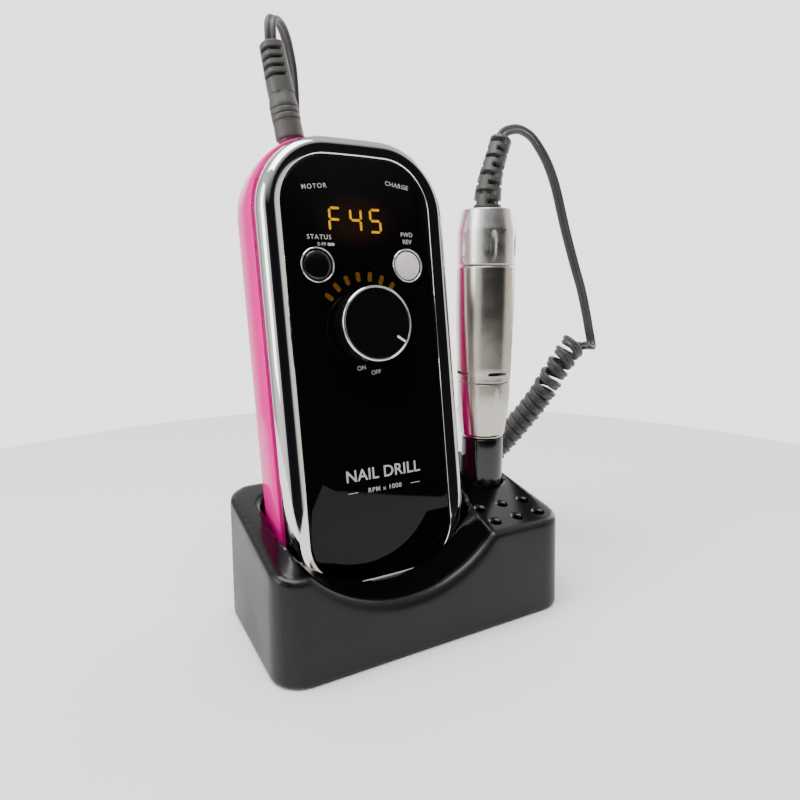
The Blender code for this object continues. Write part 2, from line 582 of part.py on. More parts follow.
def make_knob(box_frame):
    frame = add_frame("speed_knob_frame", Matrix.Identity(4), box_frame)
    step_r = 13.6 * MM
    cap = [(0, KNOB_FACE), (step_r - 0.4 * MM, KNOB_FACE), (step_r, KNOB_FACE - 0.4 * MM),
           (step_r, 8.0 * MM), (KNOB_R - 0.2 * MM, 8.0 * MM), (KNOB_R, 0.5 * MM),
           (SHAFT_R + GAP, 0.5 * MM), (SHAFT_R + GAP, 6.2 * MM), (0, 6.2 * MM)]
    knob = turned("knob_cap", cap, "black_acrylic", frame, steps=28)
    middle, length = 11.6 * MM, 5.4 * MM
    spot = (middle * math.cos(POINTER_ANGLE), middle * math.sin(POINTER_ANGLE))
    tool = block("pointer_groove_cutter", (length, 1.3 * MM, 2 * MM), (*spot, KNOB_FACE + 0.3 * MM), None,
                 frame, POINTER_ANGLE)
    cut(knob, tool)
    spot = [value * (middle - 0.35 * MM) / middle for value in spot]
    block("knob_pointer", (3.6 * MM, 0.7 * MM, 0.65 * MM), (*spot, 9.15 * MM), "white_inlay", frame,
          POINTER_ANGLE)
    trim = [(step_r + GAP, 9.3 * MM), (KNOB_R - 0.3 * MM, 9.2 * MM), (KNOB_R, 8.8 * MM),
            (KNOB_R, 8.0 * MM + GAP), (step_r + GAP, 8.0 * MM + GAP)]
    turned("knob_trim_ring", trim, "chrome_plate", frame, steps=28, ring=True)
    shaft = [(0, 5.9 * MM), (SHAFT_R, 5.9 * MM), (SHAFT_R, -8.6 * MM), (0, -8.6 * MM)]
    turned("potentiometer_shaft", shaft, "nickel_plate", frame, steps=16)


def make_plug(box_frame):
    axis = axis_frame(JACK_POS, JACK_TILT)
    tip = [(0, 0.7 * MM), (1.65 * MM, 0.7 * MM), (1.65 * MM, -11.5 * MM), (1.0 * MM, -12.4 * MM),
           (0, -12.4 * MM)]
    turned("plug_tip", tip, "nickel_plate", box_frame, axis, 14)
    groove, neck = 4.9 * MM, 4.3 * MM
    body = [(0, PLUG_TOP), (neck, PLUG_TOP), (neck, 16.4 * MM), (PLUG_R, 15.2 * MM)]
    for z in (12.6, 10.2, 7.8):
        body += [(PLUG_R, z * MM), (groove, (z - 0.3) * MM), (groove, (z - 1.1) * MM), (PLUG_R, (z - 1.4) * MM)]
    body += [(PLUG_R, 1.6 * MM), (PLUG_R - 0.6 * MM, 1.0 * MM), (0, 1.0 * MM)]
    turned("plug_body", body, "grey_vinyl", box_frame, axis, 16)
    low = PLUG_TOP + GAP
    relief = [(0, PLUG_RELIEF_TOP), (3.9 * MM, PLUG_RELIEF_TOP), (4.3 * MM, 37.2 * MM), (4.9 * MM, 22.0 * MM),
              (4.9 * MM, 20.0 * MM), (4.2 * MM, low), (0, low)]
    turned("plug_strain_relief", relief, "grey_vinyl", box_frame, axis, 16)


# --- handpiece ------------------------------------------------------------------------------------
def make_handpiece():
    place = Matrix.Translation((HAND_X, HAND_Y, 0))
    frame = add_frame("handpiece_frame", place)
    low, high = CAP_Z
    cap = [(5.0 * MM, high), (10.9 * MM, high), (11.35 * MM, high - 0.4 * MM), (BARREL_R, high - 8.8 * MM),
           (BARREL_R, low), (10.9 * MM, low), (10.9 * MM, high - 6.0 * MM), (5.0 * MM, high - 4.0 * MM)]
    turned("handpiece_rear_cap", cap, "satin_aluminium", frame, ring=True, steps=24)
    low, high = BARREL_Z
    barrel = [(BARREL_R - 0.4 * MM, high), (BARREL_R, high - 0.4 * MM), (BARREL_R, 125 * MM),
              (12.5 * MM, 104 * MM), (12.25 * MM, low), (11.0 * MM, low), (11.0 * MM, high)]
    tube_body = turned("handpiece_barrel", barrel, "satin_aluminium", frame, ring=True, steps=24)
    for i in range(4):
        turn = math.radians(90.0 * i + 20.0)
        spot = Matrix.Rotation(turn, 3, "Z") @ Vector((12.0 * MM, 0, 101.0 * MM))
        cut(tube_body, block(f"vent_cutter_{i}", (4 * MM, 13 * MM, 1.5 * MM), spot, None, frame, turn))
    can = [(0, 146 * MM), (9.6 * MM, 146 * MM), (10.4 * MM, 145 * MM), (10.4 * MM, 108.5 * MM),
           (1.6 * MM, 108.5 * MM), (1.6 * MM, 120 * MM), (0, 120 * MM)]
    turned("motor", can, "zinc_steel", frame, steps=24)
    tip = [(8.4 * MM, 96.4 * MM), (9.9 * MM, 96.4 * MM), (9.9 * MM, 80.3 * MM), (TIP_R, 80.3 * MM),
           (TIP_R, 53 * MM), (5.6 * MM, TIP_BOTTOM), (4.0 * MM, TIP_BOTTOM), (5.2 * MM, 53 * MM),
           (5.2 * MM, 80.6 * MM), (8.4 * MM, 81.8 * MM)]
    turned("nose_tip", tip, "nickel_plate", frame, ring=True, steps=20)
    bearing = [(3.3 * MM, 88.5 * MM), (8.1 * MM, 88.5 * MM), (8.1 * MM, 82.5 * MM), (3.3 * MM, 82.5 * MM)]
    turned("front_bearing", bearing, "zinc_steel", frame, ring=True, steps=20)
    turns, per_turn = 4, 8
    coil = []
    for k in range(turns * per_turn + 1):
        angle = math.tau * k / per_turn
        coil.append(Vector((4.1 * MM * math.cos(angle), 4.1 * MM * math.sin(angle),
                            (62.0 + 16.0 * k / (turns * per_turn)) * MM)))
    tube("lock_spring", coil, 0.4 * MM, "zinc_steel", frame, resolution=1)
    relief = smooth_route(HAND_RELIEF_ROUTE, 4.0 * MM)
    tube("handpiece_strain_relief", relief, 4.7 * MM, "grey_vinyl", end_radius=3.9 * MM)
    make_nose_sleeve()
    make_spindle()


def make_nose_sleeve():
    frame = add_frame("nose_sleeve_frame", Matrix.Translation((HAND_X, HAND_Y, 0)))
    low, high = SLEEVE_Z
    sleeve = [(10.2 * MM, high), (11.8 * MM, high), (12.15 * MM, high - 0.4 * MM), (12.0 * MM, 90 * MM),
              (9.8 * MM, low + 1.0 * MM), (9.4 * MM, low), (TIP_R + GAP, low), (TIP_R + GAP, 79.8 * MM),
              (10.2 * MM, 80.1 * MM)]
    turned("nose_sleeve", sleeve, "satin_aluminium", frame, ring=True, steps=24)


def make_spindle():
    frame = add_frame("spindle_frame", Matrix.Translation((HAND_X, HAND_Y, 0)))
    shaft = [(0, 118 * MM), (1.3 * MM, 118 * MM), (1.3 * MM, 107 * MM), (3.0 * MM, 106 * MM),
             (3.0 * MM, 60.0 * MM), (0, 60.0 * MM)]
    turned("spindle_shaft", shaft, "nickel_plate", frame, steps=16)
    collet = [(1.25 * MM, 59.7 * MM), (3.0 * MM, 59.7 * MM), (3.0 * MM, 51 * MM), (2.4 * MM, 48.6 * MM),
              (1.25 * MM, 48.6 * MM)]
    turned("collet", collet, "nickel_plate", frame, ring=True, steps=16)


# --- cord -----------------------------------------------------------------------------------------
def make_cord():
    tube("cord_lead_handpiece", smooth_route(HAND_LEAD_ROUTE, CORD_STEP), CORD_R, "grey_vinyl")
    tube("cord_coil", smooth_route(COIL_ROUTE, CORD_STEP), COIL_R, "grey_vinyl")
    tube("cord_lead_box", smooth_route(BOX_LEAD_ROUTE, CORD_STEP), CORD_R, "grey_vinyl")


def main():
    box_matrix = Matrix.Translation(KNOB_POS) @ Matrix.Rotation(math.pi / 2 - BOX_LEAN, 4, "X")
    box_frame = add_frame("control_box_frame", box_matrix)
    make_stand(box_frame)
    make_base()
    make_screws("stand_screw", stand_screw_places(), (1.4 * MM, 2.3 * MM), 3.1 * MM, 1.35 * MM, 9.4 * MM)
    make_socket()
    make_front_housing(box_frame)
    make_panel(box_frame)
    make_rear_shell(box_frame)
    make_electronics(box_frame)
    make_buttons(box_frame)
    make_knob(box_frame)
    make_plug(box_frame)
    make_handpiece()
    make_cord()


clear_scene()
PARTS = new_collection("nail_drill")
CUTTERS = new_collection("cutters")
main()
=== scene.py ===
"""The looks of the nail drill: fine surfaces, finishes and the curly cord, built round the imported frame.

Metres, +Z up, in the frame's own axes. The control box has a tilted frame of its own, centred on the
speed knob: x across the panel, y up it and z out of it.
"""
import json
import math

import bmesh
import bpy
from mathutils import Matrix, Vector


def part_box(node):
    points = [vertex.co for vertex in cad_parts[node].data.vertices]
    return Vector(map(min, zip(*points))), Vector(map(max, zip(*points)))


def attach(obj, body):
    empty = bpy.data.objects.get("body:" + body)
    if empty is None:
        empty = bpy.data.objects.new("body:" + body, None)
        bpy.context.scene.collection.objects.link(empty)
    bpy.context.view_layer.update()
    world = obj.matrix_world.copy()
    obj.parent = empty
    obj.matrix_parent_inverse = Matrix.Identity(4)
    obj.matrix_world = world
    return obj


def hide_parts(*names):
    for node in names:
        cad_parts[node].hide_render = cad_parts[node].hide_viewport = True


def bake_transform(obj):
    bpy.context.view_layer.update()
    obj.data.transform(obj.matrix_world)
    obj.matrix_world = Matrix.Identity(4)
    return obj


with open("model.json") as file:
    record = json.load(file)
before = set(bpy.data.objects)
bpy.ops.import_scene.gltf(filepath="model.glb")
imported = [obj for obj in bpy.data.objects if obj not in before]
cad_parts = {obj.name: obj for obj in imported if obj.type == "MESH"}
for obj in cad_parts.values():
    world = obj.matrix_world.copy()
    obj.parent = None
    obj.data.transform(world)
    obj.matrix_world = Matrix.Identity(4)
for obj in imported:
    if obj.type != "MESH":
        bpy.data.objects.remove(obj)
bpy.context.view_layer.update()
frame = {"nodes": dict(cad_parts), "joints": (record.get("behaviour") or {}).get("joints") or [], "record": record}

MM = 0.001
JOINTS = {joint["name"]: joint for joint in frame["joints"]}

# --- places read from the frame ---
KNOB = Vector(JOINTS["knob_turn"]["pos_m"])
OUT = Vector(JOINTS["knob_turn"]["axis"])
BOX = Matrix.Translation(KNOB) @ Matrix.Rotation(math.acos(OUT.z), 4, "X")
SOCKET_LOW, SOCKET_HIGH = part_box("handpiece_socket")
HAND_X = (SOCKET_LOW.x + SOCKET_HIGH.x) / 2
HAND_Y = (SOCKET_LOW.y + SOCKET_HIGH.y) / 2
HAND = Matrix.Translation((HAND_X, HAND_Y, 0.0))
SOCKET_R = (SOCKET_HIGH.x - SOCKET_LOW.x) / 2
SOCKET_TOP = SOCKET_HIGH.z
SLEEVE_Z = [corner.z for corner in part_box("nose_sleeve")]
BARREL_Z = [corner.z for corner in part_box("handpiece_barrel")]
CAP_Z = [corner.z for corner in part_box("handpiece_rear_cap")]
STAND_W, STAND_D = (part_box("stand_shell")[1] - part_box("stand_shell")[0])[:2]

# --- cradle ---
STAND_FRONT_H = 40.8 * MM
STAND_SLOPE = 0.2
STAND_CORNER_R = 12.4 * MM
STAND_DRAFT = 1.3 * MM
STAND_EDGE = 2.1 * MM              # rounding of the top edge
STAND_FOOT_Z = 0.5 * MM
RECESS_Z = 4.0 * MM
RECESS_WALL = 3.0 * MM
SCOOP = dict(x=-12.7 * MM, z=75.7 * MM, radius=52.0 * MM, back=2.0 * MM, roll=3.2 * MM)
BIT_HOLE_X = (32.6 * MM, 44.3 * MM, 56.0 * MM)
BIT_HOLE_Y = (-17.6 * MM, -28.4 * MM)
BIT_HOLE_R = 2.25 * MM
POCKET_CLEARANCE = 0.8 * MM
VOXEL = 0.9 * MM

# --- control box ---
PANEL = dict(half_w=31.9 * MM, top=65.4 * MM, bottom=-101.5 * MM, r_top=19.0 * MM, r_bottom=17.0 * MM)
BEZEL = dict(half_w=40.5 * MM, top=73.7 * MM, bottom=-110.0 * MM, r_top=29.0 * MM, r_bottom=26.0 * MM)
CROWN = 1.0 * MM
SHELL_FRONT = -9.3 * MM
SHELL_BACK = -34.0 * MM
SHELL_WALL = 2.2 * MM
SHELL_BULGE = 1.7 * MM
SHELL_BACK_R = 10.0 * MM
SHELL = dict(BEZEL, top=BEZEL["top"] + 1.2 * MM)   # the shell peeps over the band at the top
BOSS_XY = [(x * MM, y * MM) for x in (-25, 25) for y in (55, -85)]
JACK = Matrix.Translation((-19.6 * MM, 76.0 * MM, -17.0 * MM)) @ Matrix.Rotation(math.radians(7.0), 4, "Z")
CHARGE = Matrix.Translation((17.0 * MM, 74.9 * MM, -17.0 * MM)) @ Matrix.Rotation(math.radians(-10), 4, "Z")
UPWARDS = Matrix.Rotation(-math.pi / 2, 4, "X")
BUTTONS = {"status": (-19.5 * MM, 24.0 * MM), "direction": (20.2 * MM, 24.0 * MM)}
KNOB_R = 14.9 * MM
KNOB_FACE = 9.5 * MM
POINTER_ANGLE = math.radians(-34.0)
BARS_R = 19.6 * MM
PRINT_LIFT = 0.03 * MM             # ink and lamps stand this far off the panel

# --- cord ---
CORD_W = 4.8 * MM                  # flat twin cord, two cores side by side
CORD_CORE_R = 1.25 * MM
COIL_MID_R = 5.35 * MM             # the helix through the middle of the cord
COIL_PITCH = 5.0 * MM
COIL_OPEN_PITCH = 6.7 * MM         # the first turns are pulled open
COIL_OPEN_LENGTH = 40.0 * MM
HAND_LEAD_ROUTE = ((58.75, 8.43, 204.3), (59.5, 8.58, 206.0), (63.4, 9.2, 208.0), (70.2, 10.4, 209.2),
                   (77.9, 11.8, 207.5), (84.2, 13.0, 203.4), (89.9, 14.0, 198.1), (94.8, 14.8, 191.5),
                   (98.9, 15.4, 184.0), (105.8, 16.0, 167.5), (113.3, 16.0, 150.0), (118.7, 16.0, 138.2),
                   (123.5, 16.0, 124.9), (125.6, 16.0, 118.0), (126.9, 15.2, 111.5), (125.6, 13.2, 108.0),
                   (122.6, 11.4, 108.2))
COIL_ROUTE = ((117.3, 15.5, 112.1), (113.1, 16.0, 106.9), (109.3, 17.2, 101.5), (106.4, 19.0, 95.8),
              (104.3, 21.6, 89.4), (102.8, 25.0, 82.8), (101.0, 28.5, 77.0), (98.8, 32.2, 70.8),
              (96.4, 36.0, 64.8), (93.4, 40.0, 58.0), (89.0, 44.5, 50.0), (82.5, 49.2, 40.6),
              (73.5, 53.2, 30.6), (62.0, 56.0, 21.4), (49.0, 57.3, 13.8), (35.0, 57.8, 8.9),
              (20.0, 57.8, 7.2), (0.0, 57.4, 6.9), (-20.0, 57.0, 6.9))
BOX_LEAD_ROUTE = ((-35.75, 35.45, 235.2), (-35.7, 35.7, 239.3), (-35.1, 36.8, 243.2), (-33.1, 39.4, 245.9),
                  (-29.6, 43.0, 246.3), (-26.4, 46.4, 244.2), (-23.8, 49.5, 240.0), (-21.0, 52.8, 231.0),
                  (-19.8, 55.2, 215.0), (-20.5, 56.8, 190.0), (-24.0, 58.5, 150.0), (-29.5, 60.5, 105.0),
                  (-36.0, 62.5, 62.0), (-41.0, 63.0, 33.0), (-43.0, 62.5, 18.0), (-40.0, 60.8, 9.5),
                  (-34.0, 58.9, 6.4), (-27.5, 57.6, 6.6), (-20.9, 57.0, 6.9))
HAND_RELIEF_ROUTE = ((50.7, 7.1, 171.2), (50.9, 7.1, 178.8), (52.2, 7.3, 186.5), (54.3, 7.6, 192.9),
                     (58.6, 8.4, 203.9))

# --- camera ---
CAMERA_PLACE = Vector((-118.5, -220.5, 142.0)) * MM
CAMERA_YAW = math.radians(28.69)
CAMERA_PITCH = math.radians(11.63)
CAMERA_ROLL = math.radians(-0.34)
CAMERA_LENS = 27.28
CAMERA_SHIFT_Y = 0.0089

# --- studio ---
FLOOR_R = 0.44
ROOM_LIGHT = 2.4
ROOM_TOP = "#979799"
# Tone of the room's walls at each bearing in degrees.
ROOM_WALLS = ((-180, "#b9bbb8"), (-148, "#a9aaa6"), (-140, "#161618"), (-112, "#0d0d10"), (-60, "#0f0f12"),
              (-46, "#151518"), (-38, "#b4aea6"), (10, "#bcb7b0"), (22, "#ffffff"), (96, "#ffffff"),
              (114, "#7c7c7c"), (128, "#7c7c7c"), (152, "#b8bab6"), (180, "#b9bbb8"))


# --- camera, floor and light ---
def make_camera():
    level = math.cos(CAMERA_PITCH)
    ahead = Vector((math.sin(CAMERA_YAW) * level, math.cos(CAMERA_YAW) * level, -math.sin(CAMERA_PITCH)))
    right = Vector((math.cos(CAMERA_YAW), -math.sin(CAMERA_YAW), 0.0))
    up = right.cross(ahead)
    turn = Matrix.Rotation(-CAMERA_ROLL, 3, ahead)
    right, up = turn @ right, turn @ up
    data = bpy.data.cameras.new("camera")
    data.lens = CAMERA_LENS
    data.sensor_width = 36.0
    data.shift_y = CAMERA_SHIFT_Y
    data.clip_start = 0.01
    camera = placed("camera", data)
    camera.matrix_world = Matrix.Translation(CAMERA_PLACE) @ Matrix((right, up, -ahead)).transposed().to_4x4()
    bpy.context.scene.camera = camera
    return ahead


def softbox(name, place, target, size, watts):
    """A rectangular studio light that faces the target."""
    data = bpy.data.lights.new(name, "AREA")
    data.shape = "RECTANGLE"
    data.size, data.size_y = size
    data.energy = watts
    lamp = placed(name, data)
    aim = (Vector(target) - Vector(place)).to_track_quat("-Z", "Y").to_matrix().to_4x4()
    lamp.matrix_world = Matrix.Translation(place) @ aim


def make_studio():
    """A pale floor, soft lights, and a pale room whose near side is dark."""
    bm = bmesh.new()
    bmesh.ops.create_circle(bm, cap_ends=True, radius=FLOOR_R, segments=128)
    plain_object("floor", bm, painted_floor())
    softbox("overhead", (-0.25, -0.1, 1.1), (0, 0, 0.1), (0.9, 0.7), 17.0)
    softbox("left", (-1.1, 0.0, 0.5), (0, 0, 0.12), (0.5, 0.9), 7.0)
    softbox("right", (1.0, 0.2, 0.5), (0, 0, 0.12), (0.4, 0.8), 3.0)
    world = bpy.data.worlds.new("studio")
    bpy.context.scene.world = world
    world.use_nodes = True
    tree = world.node_tree
    tree.nodes.clear()
    place = add(tree, "TexCoord")
    axes = add(tree, "SeparateXYZ", {0: place.outputs["Generated"]})
    heading = add(tree, "Math", {0: axes.outputs[1], 1: axes.outputs[0]}, operation="ARCTAN2")
    share = add(tree, "MapRange", {0: heading.outputs[0], 1: -math.pi, 2: math.pi})
    walls = add(tree, "ValToRGB", {0: share.outputs[0]})
    ramp = walls.color_ramp
    for angle, colour in ROOM_WALLS[1:-1]:
        ramp.elements.new((angle + 180) / 360).color = linear(colour)
    ramp.elements[0].color = linear(ROOM_WALLS[0][1])
    ramp.elements[-1].color = linear(ROOM_WALLS[-1][1])
    height = add(tree, "MapRange", {0: axes.outputs[2], 1: 0.42, 2: 0.8})
    room = add(tree, "Mix", {0: height.outputs[0], 6: walls.outputs[0], 7: linear(ROOM_TOP)},
               data_type="RGBA")
    lit = add(tree, "Background", {0: room.outputs[2], 1: ROOM_LIGHT})
    add(tree, "OutputWorld", {0: lit.outputs[0]})


# --- node and mesh helpers ---
def linear(hex_colour):
    """An sRGB hex colour as linear RGBA."""
    parts = [int(hex_colour[i:i + 2], 16) / 255 for i in (1, 3, 5)]
    return (*[c / 12.92 if c <= 0.04045 else ((c + 0.055) / 1.055) ** 2.4 for c in parts], 1.0)


def add(tree, kind, inputs=None, **settings):
    """Add a shader node; inputs gives each socket, by name or number, a value or a link."""
    made = tree.nodes.new("ShaderNode" + kind)
    for key, value in settings.items():
        setattr(made, key, value)
    for key, value in (inputs or {}).items():
        if isinstance(value, bpy.types.NodeSocket):
            tree.links.new(value, made.inputs[key])
        else:
            made.inputs[key].default_value = value
    return made


def placed(name, data):
    """A new object in the scene."""
    obj = bpy.data.objects.new(name, data)
    bpy.context.scene.collection.objects.link(obj)
    return obj


def plain_object(name, bm, finish, sharp=35.0):
    """An object at the origin from a bmesh, shaded smooth between its sharp edges."""
    mesh = bpy.data.meshes.new(name)
    bm.to_mesh(mesh)
    bm.free()
    mesh.shade_smooth()
    mesh.set_sharp_from_angle(angle=math.radians(sharp))
    obj = placed(name, mesh)
    if finish:
        mesh.materials.append(finish)
    return obj


def piece(name, bm, finish, body, nodes=(), matrix=None, slot=None, sharp=35.0):
    """A finished piece of the object, moved into place and riding on its body."""
    if matrix:
        bm.transform(matrix)
    bmesh.ops.recalc_face_normals(bm, faces=bm.faces[:])
    return settle(plain_object(name, bm, finish, sharp), body, nodes, slot)


def settle(obj, body, nodes=(), slot=None):
    """Let an object ride on its body and stand for its CAD nodes, which are hidden; the slot is looked up but not
    used.
    """
    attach(obj, body)
    if nodes:
        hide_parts(*nodes)
        slot = slot or next(s["material_slot"] for s in frame["record"]["subparts"] if s["node"] == nodes[0])
    return obj


def dressed(obj, finish, sharp, body, node):
    """Give a carved object its finish and shading, in place of its CAD node."""
    obj.data.materials.clear()
    obj.data.materials.append(finish)
    obj.data.shade_smooth()
    obj.data.set_sharp_from_angle(angle=math.radians(sharp))
    return settle(obj, body, [node])


def ring(bm, points):
    """A closed loop of edges through the points."""
    verts = [bm.verts.new(point) for point in points]
    return [bm.edges.new((a, b)) for a, b in zip(verts, verts[1:] + verts[:1])]


def bridged(loops, hollow=False):
    """A skin through loops of equal point count: capped, or joined last to first round a hollow."""
    bm = bmesh.new()
    rings = [ring(bm, loop) for loop in loops]
    for lower, upper in zip(rings, rings[1:] + rings[:1] * hollow):
        bmesh.ops.bridge_loops(bm, edges=lower + upper)
    for end in () if hollow else (rings[0], rings[-1]):
        bmesh.ops.contextual_create(bm, geom=end)
    bmesh.ops.recalc_face_normals(bm, faces=bm.faces[:])
    return bm


def softened(points, radius, steps=5, closed=False):
    """An outline with its corners rounded by up to the radius."""
    rounded = []
    count = len(points)
    for i, point in enumerate(points):
        here = Vector(point)
        if not closed and i in (0, count - 1):
            rounded.append(here)
            continue
        before, after = Vector(points[i - 1]), Vector(points[(i + 1) % count])
        back, ahead = before - here, after - here
        start = here + back.normalized() * min(radius, back.length * 0.45)
        end = here + ahead.normalized() * min(radius, ahead.length * 0.45)
        for k in range(steps + 1):
            t = k / steps
            rounded.append((1 - t) ** 2 * start + 2 * t * (1 - t) * here + t * t * end)
    return rounded


def mm(*points):
    """Points given in millimetres."""
    return [(x * MM, z * MM) for x, z in points]


def spun(profile, steps=96, closed=False, radius=0.3 * MM):
    """A turned skin about z through (radius, height) points, their corners softened by the radius."""
    if radius:
        profile = softened(profile, radius, 4, closed)
    bm = bmesh.new()
    verts = [bm.verts.new((x, 0.0, z)) for x, z in profile]
    edges = [bm.edges.new(pair) for pair in zip(verts, verts[1:])]
    if closed:
        edges.append(bm.edges.new((verts[-1], verts[0])))
    bmesh.ops.spin(bm, geom=verts + edges, cent=(0, 0, 0), axis=(0, 0, 1), angle=math.tau, steps=steps,
                   use_merge=True)
    bmesh.ops.remove_doubles(bm, verts=bm.verts[:], dist=0.002 * MM)
    bmesh.ops.recalc_face_normals(bm, faces=bm.faces[:])
    return bm


def carved(obj, cutters, operation="DIFFERENCE"):
    """Cut the cutters out of the object, or join them to it, and bake the result into its mesh."""
    for cutter in cutters:
        modifier = obj.modifiers.new(cutter.name, "BOOLEAN")
        modifier.operation = operation
        modifier.object = cutter
    mesh = bpy.data.meshes.new_from_object(obj.evaluated_get(bpy.context.evaluated_depsgraph_get()))
    obj.modifiers.clear()
    obj.data = mesh
    for cutter in cutters:
        bpy.data.objects.remove(cutter, do_unlink=True)
    return obj


def block(size, centre, turn=None, bevel=0.0, segments=3):
    """A box with softened edges."""
    bm = bmesh.new()
    bmesh.ops.create_cube(bm, size=1.0, matrix=Matrix.Diagonal((*size, 1.0)))
    if bevel:
        bmesh.ops.bevel(bm, geom=bm.edges[:], offset=bevel, offset_type="OFFSET", affect="EDGES",
                        segments=segments, profile=0.5, material=-1)
    bm.transform(Matrix.Translation(centre) @ (turn or Matrix.Identity(4)))
    return bm


def merged(parts):
    """Several bmeshes as one."""
    whole = bmesh.new()
    for part in parts:
        mesh = bpy.data.meshes.new("part")
        part.to_mesh(mesh)
        part.free()
        whole.from_mesh(mesh)
        bpy.data.meshes.remove(mesh)
    return whole


def quarter_round(steps, first=0):
    """Cosine and sine of evenly spaced angles over a quarter turn."""
    return [(math.cos(a), math.sin(a)) for a in (math.pi / 2 * k / steps for k in range(first, steps + 1))]


def step_up(value, low, high):
    """0 below low, 1 above high, and smooth between them."""
    t = max(0.0, min(1.0, (value - low) / (high - low)))
    return t * t * (3 - 2 * t)


# --- finishes ---
def opened(made):
    """A finish's node tree, its shader and the place on the object, to build on."""
    tree = made.node_tree
    return tree, tree.nodes["Principled BSDF"], add(tree, "TexCoord").outputs["Object"]


def finish(name, colours, patch_mm, roughness, smear_mm, grain_mm, grain_height_mm, stretch=(1, 1, 1),
           **sockets):
    """A surface whose colour drifts between two tones in patches, whose roughness varies in smears, and
    which has a fine grain; sockets sets the shader's own values."""
    made = bpy.data.materials.new(name)
    made.use_nodes = True
    tree, shader, place = opened(made)
    drift = add(tree, "TexNoise", {"Vector": place, "Scale": 1000 / patch_mm, "Detail": 4.0})
    tone = add(tree, "Mix", {0: drift.outputs[0], 6: linear(colours[0]), 7: linear(colours[1])},
               data_type="RGBA")
    smear = add(tree, "TexNoise", {"Vector": place, "Scale": 1000 / smear_mm, "Detail": 3.0})
    rough = add(tree, "MapRange", {0: smear.outputs[0], 1: 0.3, 2: 0.7, 3: roughness[0], 4: roughness[1]})
    drawn = add(tree, "Mapping", {"Vector": place, "Scale": stretch})
    grain = add(tree, "TexNoise", {"Vector": drawn.outputs[0], "Scale": 1000 / grain_mm, "Detail": 3.0})
    bump = add(tree, "Bump", {"Height": grain.outputs[0], "Distance": grain_height_mm * MM, "Strength": 1.0})
    tree.links.new(tone.outputs[2], shader.inputs["Base Color"])
    tree.links.new(rough.outputs[0], shader.inputs["Roughness"])
    tree.links.new(bump.outputs[0], shader.inputs["Normal"])
    for key, value in sockets.items():
        shader.inputs[key.replace("_", " ")].default_value = value
    return made


def painted_floor():
    """Matt white studio floor."""
    return finish("matt_white_floor", ("#f7f7f6", "#f3f3f2"), 400, (0.7, 0.8), 300, 5, 0.01)


def charcoal_abs():
    """Injection moulded ABS, charcoal: spark-eroded satin outside, polished on top and in the pocket, where its
    colour is also painted near black as painted shade.
    """
    made = finish("charcoal_moulded_abs", ("#141312", "#0e0e0e"), 60, (0.34, 0.42), 25, 0.45, 0.012, IOR=1.35)
    tree, shader, place = opened(made)
    apart = add(tree, "SeparateXYZ", {0: place})
    across = add(tree, "Math", {0: apart.outputs[0]}, operation="ABSOLUTE")
    along = add(tree, "Math", {0: apart.outputs[1]}, operation="ABSOLUTE")
    side = add(tree, "MapRange", {0: across.outputs[0], 1: STAND_W / 2 - 4.5 * MM, 2: STAND_W / 2 - 2.5 * MM})
    face = add(tree, "MapRange", {0: along.outputs[0], 1: STAND_D / 2 - 4.5 * MM, 2: STAND_D / 2 - 2.5 * MM})
    wall = add(tree, "Math", {0: side.outputs[0], 1: face.outputs[0]}, operation="MAXIMUM")
    satin = shader.inputs["Roughness"].links[0].from_socket
    polished = add(tree, "Mix", {0: wall.outputs[0], 2: 0.13, 3: satin}, data_type="FLOAT")
    tree.links.new(polished.outputs[0], shader.inputs["Roughness"])
    tone = shader.inputs["Base Color"].links[0].from_socket
    # Painted shade: the top and the pocket, away from the outer walls, are coloured near black.
    deck_pocket_painted_shade = add(tree, "Mix", {0: wall.outputs[0], 6: linear("#050506"), 7: tone}, data_type="RGBA")
    tree.links.new(deck_pocket_painted_shade.outputs[2], shader.inputs["Base Color"])
    return made


def lit_panel():
    """Smoked acrylic, polished: black, with a faint amber bloom round the lit digits."""
    made = finish("smoked_acrylic", ("#050507", "#08080a"), 80, (0.015, 0.05), 30, 8, 0.0004, IOR=1.27)
    tree, shader, place = opened(made)
    middle = BOX @ Vector((-1.7 * MM, 41.6 * MM, 0.0))
    local = add(tree, "VectorMath", {0: place, 1: middle}, operation="SUBTRACT")
    squeezed = add(tree, "VectorMath", {0: local.outputs[0], 1: (1 / 0.021, 1 / 0.013, 1 / 0.013)},
                   operation="MULTIPLY")
    far = add(tree, "VectorMath", {0: squeezed.outputs[0]}, operation="LENGTH")
    glow = add(tree, "MapRange", {0: far.outputs["Value"], 1: 0.2, 2: 1.0, 3: 0.012, 4: 0.0},
               interpolation_type="SMOOTHSTEP")
    shader.inputs["Emission Color"].default_value = linear("#ff9a10")
    tree.links.new(glow.outputs[0], shader.inputs["Emission Strength"])
    return made


def lamp(name, colour, glow):
    """A lit amber lamp behind a clear window; its light varies a little from speck to speck."""
    made = finish(name, ("#1a0d02", "#241203"), 3, (0.3, 0.4), 2, 0.5, 0.001)
    tree, shader, place = opened(made)
    speck = add(tree, "TexNoise", {"Vector": place, "Scale": 1000 / 1.2, "Detail": 2.0})
    power = add(tree, "MapRange", {0: speck.outputs[0], 1: 0.3, 2: 0.7, 3: glow * 0.75, 4: glow * 1.2})
    shader.inputs["Emission Color"].default_value = linear(colour)
    tree.links.new(power.outputs[0], shader.inputs["Emission Strength"])
    return made


